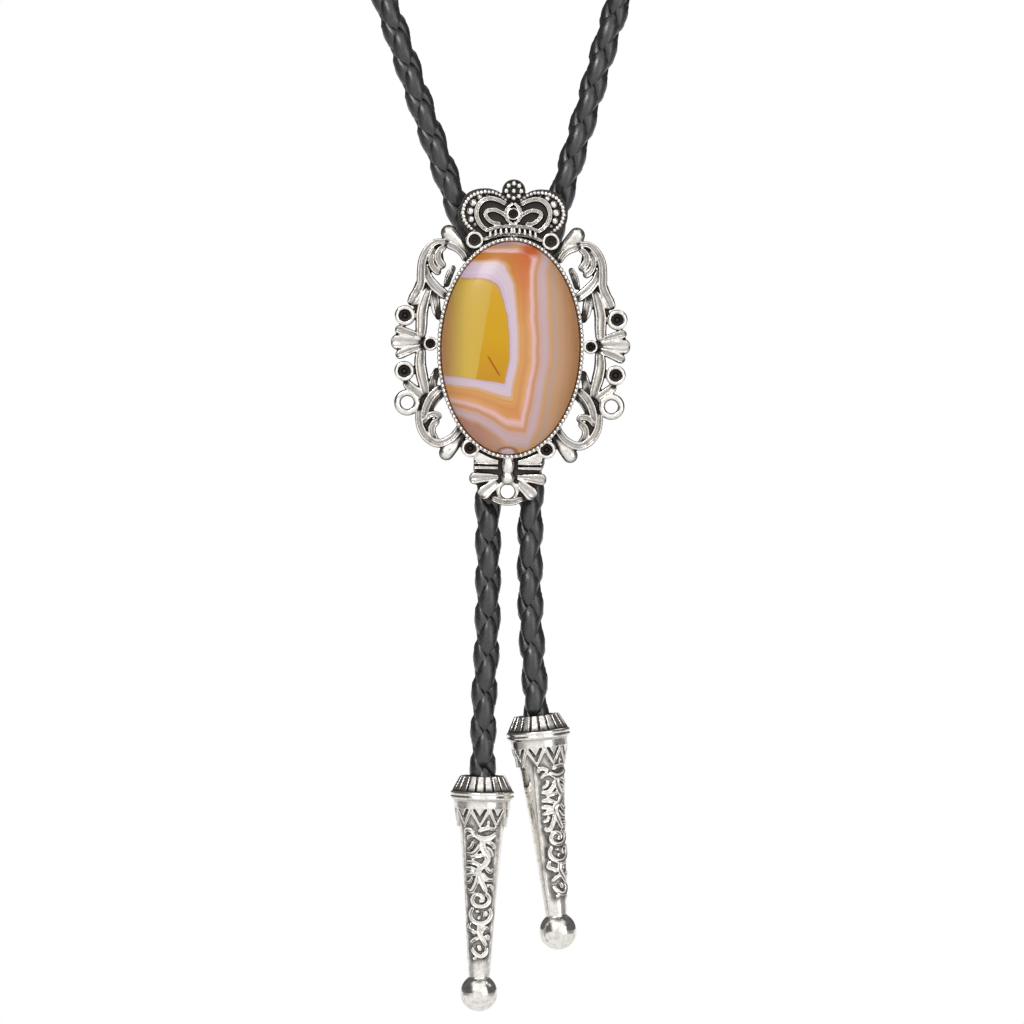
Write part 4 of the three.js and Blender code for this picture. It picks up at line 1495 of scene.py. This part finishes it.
def colour(code: str) -> tuple[float, float, float, float]:
    """The linear colour of a hexadecimal display colour such as C8AFB5."""
    parts = [int(code[index:index + 2], 16) / 255 for index in (0, 2, 4)]
    linear = [part / 12.92 if part <= 0.04045 else ((part + 0.055) / 1.055) ** 2.4 for part in parts]
    return (*linear, 1.0)


@dataclass(frozen=True)
class Finish:
    """A procedural material; each kind fills in its own nodes."""

    name: str

    def make(self) -> bpy.types.Material:
        """Makes the material.

        Returns:
            The material.
        """
        material = bpy.data.materials.new(self.name)
        material.use_nodes = True
        nodes = Nodes(material.node_tree)
        shader = nodes.add("ShaderNodeBsdfPrincipled")
        output = nodes.add("ShaderNodeOutputMaterial")
        material.node_tree.links.new(shader.outputs[0], output.inputs[0])
        self.fill(nodes, shader)
        return material

    def fill(self, nodes: Nodes, shader: bpy.types.Node) -> None:
        """Sets the shader.

        Args:
            nodes: the material's nodes.
            shader: its principled shader.
        """
        raise NotImplementedError

    @staticmethod
    def wire(nodes: Nodes, shader: bpy.types.Node, sockets: dict[str, object]) -> None:
        """Links or sets sockets of the shader by name."""
        for key, value in sockets.items():
            if isinstance(value, bpy.types.NodeSocket):
                nodes.tree.links.new(value, shader.inputs[key])
            else:
                shader.inputs[key].default_value = value

    def dress(self, *made: bpy.types.Object) -> None:
        """Makes the material and puts it on objects as their only one."""
        material = self.make()
        for piece in made:
            piece.data.materials.clear()
            piece.data.materials.append(material)


@dataclass(frozen=True)
class OldSilver(Finish):
    """Cast silver with dark recesses, patina and painted shade, and bright worn edges."""

    bright: str = "F2EFEA"
    warm: str = "CFC8C0"
    # The colour of the recesses: patina and painted shade
    dark: str = "37322F"
    reach: float = 0.8 * MM
    ground: float = 0.24
    crest: float = 0.92

    def fill(self, nodes: Nodes, shader: bpy.types.Node) -> None:
        """Darkens recesses by depth and by how enclosed they are, as patina and painted shade, and adds casting grain.
        """
        place = nodes.add("ShaderNodeTexCoord").outputs["Object"]
        relief = nodes.add("ShaderNodeAttribute", attribute_name="relief").outputs["Fac"]
        recess_patina_and_shade = nodes.add("ShaderNodeAmbientOcclusion", {"Distance": self.reach}, samples=8, only_local=True)
        mottle = nodes.noise(place, 1100.0, 4.0, 0.6)
        grain = nodes.noise(place, 5200.0, 3.0, 0.6)
        blotch = nodes.span(mottle, 0.3, 0.7, -0.1, 0.1)
        high = nodes.span(nodes.math("ADD", relief, blotch), self.ground, self.crest)
        clear = nodes.span(nodes.math("ADD", recess_patina_and_shade.outputs["AO"], blotch), 0.22, 0.72)
        # worn: bright where the surface is worn and free of patina and painted shade
        worn = nodes.math("MULTIPLY", high, clear)
        metal = nodes.blend(nodes.span(mottle, 0.45, 0.7), colour(self.bright), colour(self.warm))
        normal = nodes.bump(grain, 0.25, 0.015 * MM)
        normal = nodes.bump(mottle, 0.3, 0.06 * MM, normal)
        self.wire(nodes, shader, {
            "Base Color": nodes.blend(worn, colour(self.dark), metal),
            "Metallic": nodes.span(worn, 0.0, 0.5, 0.6, 1.0),
            "Roughness": nodes.span(worn, 0.0, 1.0, 0.5, 0.14),
            "Normal": normal,
        })


@dataclass(frozen=True)
class PlainMetal(Finish):
    """Plated sheet metal with a fine brushed grain."""

    tint: str = "C4C3C0"
    roughness: float = 0.32

    def fill(self, nodes: Nodes, shader: bpy.types.Node) -> None:
        """Sets the metal, with fine lines across its width."""
        place = nodes.add("ShaderNodeTexCoord").outputs["Object"]
        lines = nodes.noise(nodes.stretched(place, (0.05, 1.0, 1.0)), 6000.0, 2.0)
        cloud = nodes.noise(place, 240.0, 3.0)
        self.wire(nodes, shader, {
            "Base Color": nodes.blend(nodes.span(cloud, 0.3, 0.7), colour(self.tint), colour("A5A29C")),
            "Metallic": 1.0,
            "Roughness": nodes.span(cloud, 0.2, 0.8, self.roughness - 0.08, self.roughness + 0.12),
            "Normal": nodes.bump(lines, 0.25, 0.01 * MM),
        })


@dataclass(frozen=True)
class BlackLeather(Finish):
    """Black braiding leather with a soft shine along each strand, and painted shade in the gaps and along the strand
    edges.
    """

    tint: str = "151516"
    worn: str = "302F30"

    def fill(self, nodes: Nodes, shader: bpy.types.Node) -> None:
        """Sets the leather, with fine creases along the strands, and painted shade in the gaps between strands and
        along their edges.
        """
        grain = nodes.add("ShaderNodeAttribute", attribute_name="grain").outputs["Vector"]
        creases = nodes.noise(nodes.stretched(grain, (4.0, 0.55, 1.0)), 1.6, 4.0, 0.65)
        place = nodes.add("ShaderNodeTexCoord").outputs["Object"]
        pores = nodes.noise(place, 3800.0, 3.0, 0.6)
        shade = nodes.span(creases, 0.35, 0.72)
        normal = nodes.bump(pores, 0.3, 0.03 * MM)
        gap_shade = nodes.add("ShaderNodeAmbientOcclusion", {"Distance": 0.7 * MM}, samples=8, only_local=True)
        tone = nodes.blend(shade, colour(self.tint), colour(self.worn))
        # Painted shade: near black in the gaps between strands and towards each strand's edges
        across = nodes.math("ABSOLUTE", nodes.add("ShaderNodeSeparateXYZ", {0: grain}).outputs[0])
        edge = nodes.span(across, 0.7, 0.97, 1.0, 0.05)
        clear = nodes.math("MULTIPLY", nodes.span(gap_shade.outputs["AO"], 0.45, 0.9), edge)
        self.wire(nodes, shader, {
            "Base Color": nodes.blend(clear, colour("020202"), tone),
            "Roughness": nodes.span(creases, 0.3, 0.7, 0.22, 0.4),
            "Normal": nodes.bump(creases, 0.35, 0.12 * MM, normal),
            "Specular IOR Level": 0.85,
        })


@dataclass(frozen=True)
class BandedAgate(Finish):
    """Polished banded agate, coloured by the level that each vertex carries."""

    first: float = -1.0
    last: float = 15.5
    value: float = 0.88
    bands: tuple[tuple[float, str], ...] = (
        (-0.12, "C9A04A"), (0.0, "B58A60"), (0.16, "CDB6CC"), (0.7, "D0BFD0"), (1.5, "D4C0CC"),
        (1.9, "CDA488"), (2.1, "D9B070"), (2.4, "D0965C"), (2.7, "D69E62"), (3.4, "CE9260"), (4.2, "D8A26A"),
        (4.5, "D8A68E"), (4.75, "E0B6B4"), (5.2, "DCB0A8"), (5.5, "C99A74"), (5.9, "C4916E"), (6.2, "C8A29C"),
        (7.0, "C4AAAE"), (7.8, "C0A4A2"), (8.15, "C79C70"), (8.6, "C49670"), (9.2, "B39A8A"), (9.7, "B6978A"),
        (10.0, "C4986C"), (10.6, "BC9478"), (11.1, "C29468"), (11.6, "B28E74"), (12.2, "C09060"),
        (13.0, "B48A68"), (14.2, "B8895A"), (15.4, "A87C54"))
    # The core's colour across the stone; its lighter band round -9 to -6 mm is a painted sheen
    core: tuple[tuple[float, str], ...] = (
        (-13.8, "B5875C"), (-12.3, "B88E58"), (-11.0, "BFA055"), (-9.0, "CFAF50"), (-6.0, "CCAA4C"),
        (-3.0, "C9A646"), (0.0, "C39C3C"))

    @staticmethod
    def ramped(nodes: Nodes, value: bpy.types.NodeSocket, rows: tuple[tuple[float, str], ...],
               low: float, high: float) -> bpy.types.NodeSocket:
        """Colours a value by rows of a level and a colour, between two levels."""
        stops = [((level - low) / (high - low), colour(code)) for level, code in rows]
        return nodes.ramp(nodes.span(value, low, high), stops)

    def fill(self, nodes: Nodes, shader: bpy.types.Node) -> None:
        """Reads the bands, warms single places and lays a polish over all."""
        place = nodes.add("ShaderNodeAttribute", attribute_name="on_stone").outputs["Vector"]
        level = nodes.add("ShaderNodeAttribute", attribute_name="band_level").outputs["Fac"]
        axes = nodes.add("ShaderNodeSeparateXYZ", {0: place})
        x, y = axes.outputs[0], axes.outputs[1]
        wave = nodes.noise(place, 0.2, 2.0, 0.5)
        level = nodes.math("ADD", level, nodes.span(wave, 0.2, 0.8, -0.25, 0.25))
        banded = self.ramped(nodes, level, self.bands, self.first, self.last)
        core = self.ramped(nodes, x, self.core, self.core[0][0], self.core[-1][0])
        banded = self.spots(nodes, banded, x, y, level)
        core = self.wedge(nodes, core, x, y, wave)
        depth = nodes.add("ShaderNodeAttribute", attribute_name="core_depth").outputs["Fac"]
        rows = nodes.add("ShaderNodeCombineXYZ", {0: level}).outputs[0]
        lines = nodes.noise(rows, 4.0, 3.0)
        banded = nodes.blend(nodes.span(lines, 0.4, 0.7, 0.0, 0.22), banded, colour("A06A3C"))
        mixed = nodes.blend(nodes.span(depth, -0.35, 0.3), banded, core)
        # Painted shade: darker towards the dome's left and right rims
        shade = nodes.span(nodes.math("ABSOLUTE", x), 7.5, 14.0, 0.0, 0.25)
        mixed = nodes.blend(shade, mixed, colour("7A5236"))
        toned = nodes.add("ShaderNodeHueSaturation", {
            "Saturation": 1.03, "Value": self.value, "Color": mixed})
        self.wire(nodes, shader, {
            "Base Color": toned.outputs[0],
            "Roughness": 0.3,
            "Specular IOR Level": 0.25,
            "Coat Weight": 0.12,
            "Coat Roughness": 0.06,
            "Subsurface Weight": 0.12,
            "Subsurface Radius": (0.4 * MM, 0.3 * MM, 0.25 * MM),
        })

    def wedge(self, nodes: Nodes, core: object, x: object, y: object, wave: object) -> bpy.types.NodeSocket:
        """The deep yellow wedge in the core beside the bands, and the red needle below it."""
        edge = nodes.math("MULTIPLY_ADD", y, 0.153, -4.0 - 11.4 * 0.153)
        beyond = nodes.math("SUBTRACT", x, edge)
        beyond = nodes.math("ADD", beyond, nodes.span(wave, 0.2, 0.8, -0.2, 0.2))
        core = nodes.blend(nodes.span(beyond, -0.08, 0.08), core, nodes.blend(
            nodes.span(y, -8.0, 2.0), colour("C08C2C"), colour("CC9C1C")))
        across = nodes.math("ADD", nodes.math("MULTIPLY", nodes.math("ADD", x, 4.3), 3.5),
                            nodes.math("MULTIPLY", nodes.math("ADD", y, 2.1), 2.2))
        near = nodes.span(nodes.math("ABSOLUTE", across), 0.35, 0.9, 1.0, 0.0)
        along = nodes.math("MULTIPLY", nodes.span(y, -6.0, -5.4), nodes.span(y, -2.2, -1.7, 1.0, 0.0))
        return nodes.blend(nodes.math("MULTIPLY", near, along), core, colour("A8481E"))

    def spots(self, nodes: Nodes, banded: object, x: object, y: object,
              level: object) -> bpy.types.NodeSocket:
        """The hot orange place near the top, the browner bands at the lower left and the eye below."""
        hot = nodes.span(y, 4.0, 17.0)
        deep = nodes.span(y, -11.0, -15.0)
        banded = nodes.blend(nodes.math("MULTIPLY", nodes.math("MULTIPLY", deep, 0.7), nodes.math(
            "MULTIPLY", nodes.span(level, 2.2, 2.8), nodes.span(level, 4.2, 4.5, 1.0, 0.0))), banded,
            colour("D08050"))
        in_band = nodes.math("MULTIPLY", nodes.span(level, 1.7, 2.3), nodes.span(level, 4.3, 4.8, 1.0, 0.0))
        gold = nodes.blend(nodes.span(x, -4.0, 2.5), colour("BC7A34"), colour("C96E42"))
        gold = nodes.blend(nodes.span(level, 2.0, 3.2), colour("BE7A30"), gold)
        banded = nodes.blend(nodes.math("MULTIPLY", hot, in_band), banded, gold)
        spur = self.glow(nodes, x, y, (3.6, 19.4), (3.2, 2.0))
        banded = nodes.blend(nodes.span(spur, 0.1, 0.7), banded, colour("BC5A2A"))
        fold = self.glow(nodes, x, y, (-2.0, 20.6), (3.4, 1.2))
        banded = nodes.blend(nodes.span(fold, 0.1, 0.6), banded, colour("B08C84"))
        low_left = nodes.math("MULTIPLY", nodes.span(x, -6.0, 1.0, 1.0, 0.0), nodes.span(level, 7.4, 8.3))
        low_left = nodes.math("MULTIPLY", low_left, nodes.span(y, -13.0, -11.0, 1.0, 0.0))
        banded = nodes.blend(nodes.math("MULTIPLY", low_left, 0.8), banded, colour("A97768"))
        ring = self.glow(nodes, x, y, (-0.2, -20.9), (2.7, 1.5))
        banded = nodes.blend(nodes.span(ring, 0.05, 0.3), banded, colour("8E6246"))
        return nodes.blend(nodes.span(ring, 0.35, 0.6), banded, colour("C8B0B8"))

    @staticmethod
    def glow(nodes: Nodes, x: object, y: object, centre: Point2, half: Point2) -> bpy.types.NodeSocket:
        """A soft oval place: 1 in its middle and 0 from its edge."""
        across = nodes.math("DIVIDE", nodes.math("SUBTRACT", x, centre[0]), half[0])
        up = nodes.math("DIVIDE", nodes.math("SUBTRACT", y, centre[1]), half[1])
        squares = nodes.math("ADD", nodes.math("MULTIPLY", across, across), nodes.math("MULTIPLY", up, up))
        return nodes.math("SUBTRACT", 1.0, nodes.math("MINIMUM", nodes.math("SQRT", squares), 1.0))


@dataclass(frozen=True)
class Studio:
    """The camera, the light and the floor."""

    lens: float = 150.0
    sensor: float = 36.0
    floor_radius: float = 0.4
    floor_height: float = -0.45

    def camera(self) -> None:
        """Stands the camera straight before the slide, as far away as the frame's width asks."""
        distance = FRAME_WIDTH * self.lens / self.sensor
        place = STONE_CENTRE + Vector((FRAME_CENTRE[0], -distance, FRAME_CENTRE[1]))
        deselect()
        bpy.ops.object.camera_add(location=place, rotation=(math.pi / 2, 0.0, 0.0))
        camera = bpy.context.view_layer.objects.active
        camera.name = "camera"
        camera.data.lens = self.lens
        camera.data.sensor_width = self.sensor
        camera.data.sensor_fit = "HORIZONTAL"
        camera.data.clip_start = 0.01
        bpy.context.scene.camera = camera
        bpy.context.scene.view_settings.view_transform = "Standard"

    def world(self) -> None:
        """A white room that is darker to the sides and below, so that the metal has something to mirror."""
        world = bpy.data.worlds.new("studio")
        bpy.context.scene.world = world
        world.use_nodes = True
        nodes = Nodes(world.node_tree)
        way = nodes.add("ShaderNodeSeparateXYZ", {0: nodes.add("ShaderNodeTexCoord").outputs["Generated"]})
        side, ahead, height = way.outputs[0], way.outputs[1], way.outputs[2]
        box = nodes.math("MULTIPLY", nodes.span(nodes.math("ABSOLUTE", side), 0.5, 0.72, 1.0, 0.0),
                         nodes.span(height, 0.9, 0.98, 1.0, 0.0))
        box = nodes.math("MULTIPLY", box, nodes.span(ahead, 0.0, -0.12))
        above = nodes.blend(box, (0.14, 0.14, 0.14, 1.0), (1.25, 1.25, 1.25, 1.0))
        edge = nodes.span(nodes.math("ABSOLUTE", side), 0.75, 0.95)
        below = nodes.blend(nodes.span(height, -1.0, -0.1), (0.95, 0.95, 0.95, 1.0), (1.1, 1.1, 1.1, 1.0))
        below = nodes.blend(edge, below, (0.4, 0.4, 0.4, 1.0))
        up = nodes.blend(nodes.span(height, -0.03, 0.03), below, above)
        seen = nodes.add("ShaderNodeLightPath").outputs["Is Camera Ray"]
        light = nodes.add("ShaderNodeBackground", {"Color": nodes.blend(seen, up, (1.0, 1.0, 1.0, 1.0)),
                                                   "Strength": nodes.span(seen, 0.0, 1.0, 0.9, 1.0)})
        output = nodes.add("ShaderNodeOutputWorld")
        world.node_tree.links.new(light.outputs[0], output.inputs[0])

    def lamp(self, name: str, place: Point3, size: Point2, power: float) -> None:
        """A soft lamp that faces the slide.

        Args:
            name: its name.
            place: where it stands from the slide, in metres.
            size: its width and height, in metres.
            power: its power, in watts.
        """
        deselect()
        spot = STONE_CENTRE + Vector(place)
        turn = (-Vector(place)).to_track_quat("-Z", "Y").to_euler()
        bpy.ops.object.light_add(type="AREA", location=spot, rotation=turn)
        lamp = bpy.context.view_layer.objects.active
        lamp.name = name
        lamp.data.shape = "RECTANGLE"
        lamp.data.size, lamp.data.size_y = size
        lamp.data.energy = power

    def floor(self) -> None:
        """A small pale floor under the hanging tie."""
        deselect()
        bpy.ops.mesh.primitive_circle_add(vertices=96, radius=self.floor_radius, fill_type="NGON",
                                          location=(0.0, -0.07, self.floor_height))
        floor = bpy.context.view_layer.objects.active
        floor.name = "floor"
        settle(floor)
        PaleFloor("pale_floor").dress(floor)
        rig.stage(floor)

    def build(self) -> None:
        """Sets up all of it."""
        self.camera()
        self.world()
        self.lamp("key", (-0.35, -0.75, 0.55), (0.3, 0.3), 3.0)
        self.lamp("fill", (0.6, -0.7, 0.1), (0.5, 0.7), 1.5)
        self.lamp("rim", (0.1, 0.6, 0.6), (0.6, 0.4), 1.0)
        self.floor()


@dataclass(frozen=True)
class PaleFloor(Finish):
    """Matt pale card."""

    def fill(self, nodes: Nodes, shader: bpy.types.Node) -> None:
        """Sets the card."""
        place = nodes.add("ShaderNodeTexCoord").outputs["Object"]
        cloud = nodes.noise(place, 12.0)
        self.wire(nodes, shader, {
            "Base Color": nodes.blend(cloud, (0.86, 0.86, 0.85, 1), (0.9, 0.9, 0.89, 1)),
            "Roughness": 0.9,
            "Emission Color": (1.0, 1.0, 1.0, 1.0),
            "Emission Strength": 0.3,
        })


@dataclass
class BoloTie:
    """The whole tie."""

    slide: Slide = field(default_factory=Slide)
    stone: Agate = field(default_factory=Agate)
    cord: Cord = field(default_factory=Cord)
    tip: Tip = field(default_factory=Tip)

    def build_slide(self) -> None:
        """The cast slide, its stone and the clasp behind them."""
        silver = OldSilver("cast_silver")
        setting = self.slide.build()
        silver.dress(setting)
        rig.ride(setting, "root")
        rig.replaces(setting, "setting")
        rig.slot(setting, "cast_silver")
        stone = self.stone.build()
        BandedAgate("agate").dress(stone)
        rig.ride(stone, "root")
        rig.replaces(stone, "cabochon")
        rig.slot(stone, "agate")
        PlainMetal("clasp_metal").dress(bpy.data.objects["slide_back"])

    def build_tips(self) -> dict[str, bpy.types.Object]:
        """Both tips, copies of one casting.

        Returns:
            The tips by name.
        """
        first = self.tip.build()
        OldSilver("tip_silver").dress(first)
        made = {}
        for name, ((x, z), lean, spin) in TIP_PLACES.items():
            tip = copy_of(first, "cast_" + name)
            place = Matrix.Translation(STONE_CENTRE + Vector((x, self.cord.behind, z)) * MM)
            tip.data.transform(place @ Matrix.Rotation(lean, 4, "Y") @ Matrix.Rotation(spin, 4, "Z"))
            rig.ride(tip, "root")
            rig.replaces(tip, name)
            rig.slot(tip, "cast_silver")
            made[name] = tip
        bpy.data.objects.remove(first)
        return made

    def build_cord(self, tips: dict[str, bpy.types.Object]) -> None:
        """The braided cord, with its hanging ends declared.

        Args:
            tips: the tips by name.
        """
        runs = self.cord.build()
        BlackLeather("black_leather").dress(*runs.values())
        for name, run in runs.items():
            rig.ride(run, "root")
            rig.replaces(run, "cord")
            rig.slot(run, "black_leather")
        for side, tip in (("left", tips["tip_left"]), ("right", tips["tip_right"])):
            path = self.cord.paths["cord_tail_" + side]
            path = path[::-1] if side == "left" else path
            length = sum((Vector(a) - Vector(b)).length for a, b in zip(path, path[1:]))
            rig.cord(runs["cord_tail_" + side], exit=path[0], length=length, diameter=self.cord.diameter * MM,
                    far_end="fitting", stiffness="medium", lay="hanging", path=path, with_pieces=[tip])

    def build(self) -> None:
        """Builds every piece."""
        self.build_slide()
        self.build_cord(self.build_tips())


def main() -> None:
    """Builds the studio and the tie, and writes both boxes."""
    Studio().build()
    BoloTie().build()
    sizes = {"cad": [list(corner) for corner in cad_box], "blender": [list(corner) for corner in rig.bounds()]}
    with open("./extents.json", "w") as out:
        json.dump(sizes, out, indent=1)


if __name__ == "__main__":
    main()
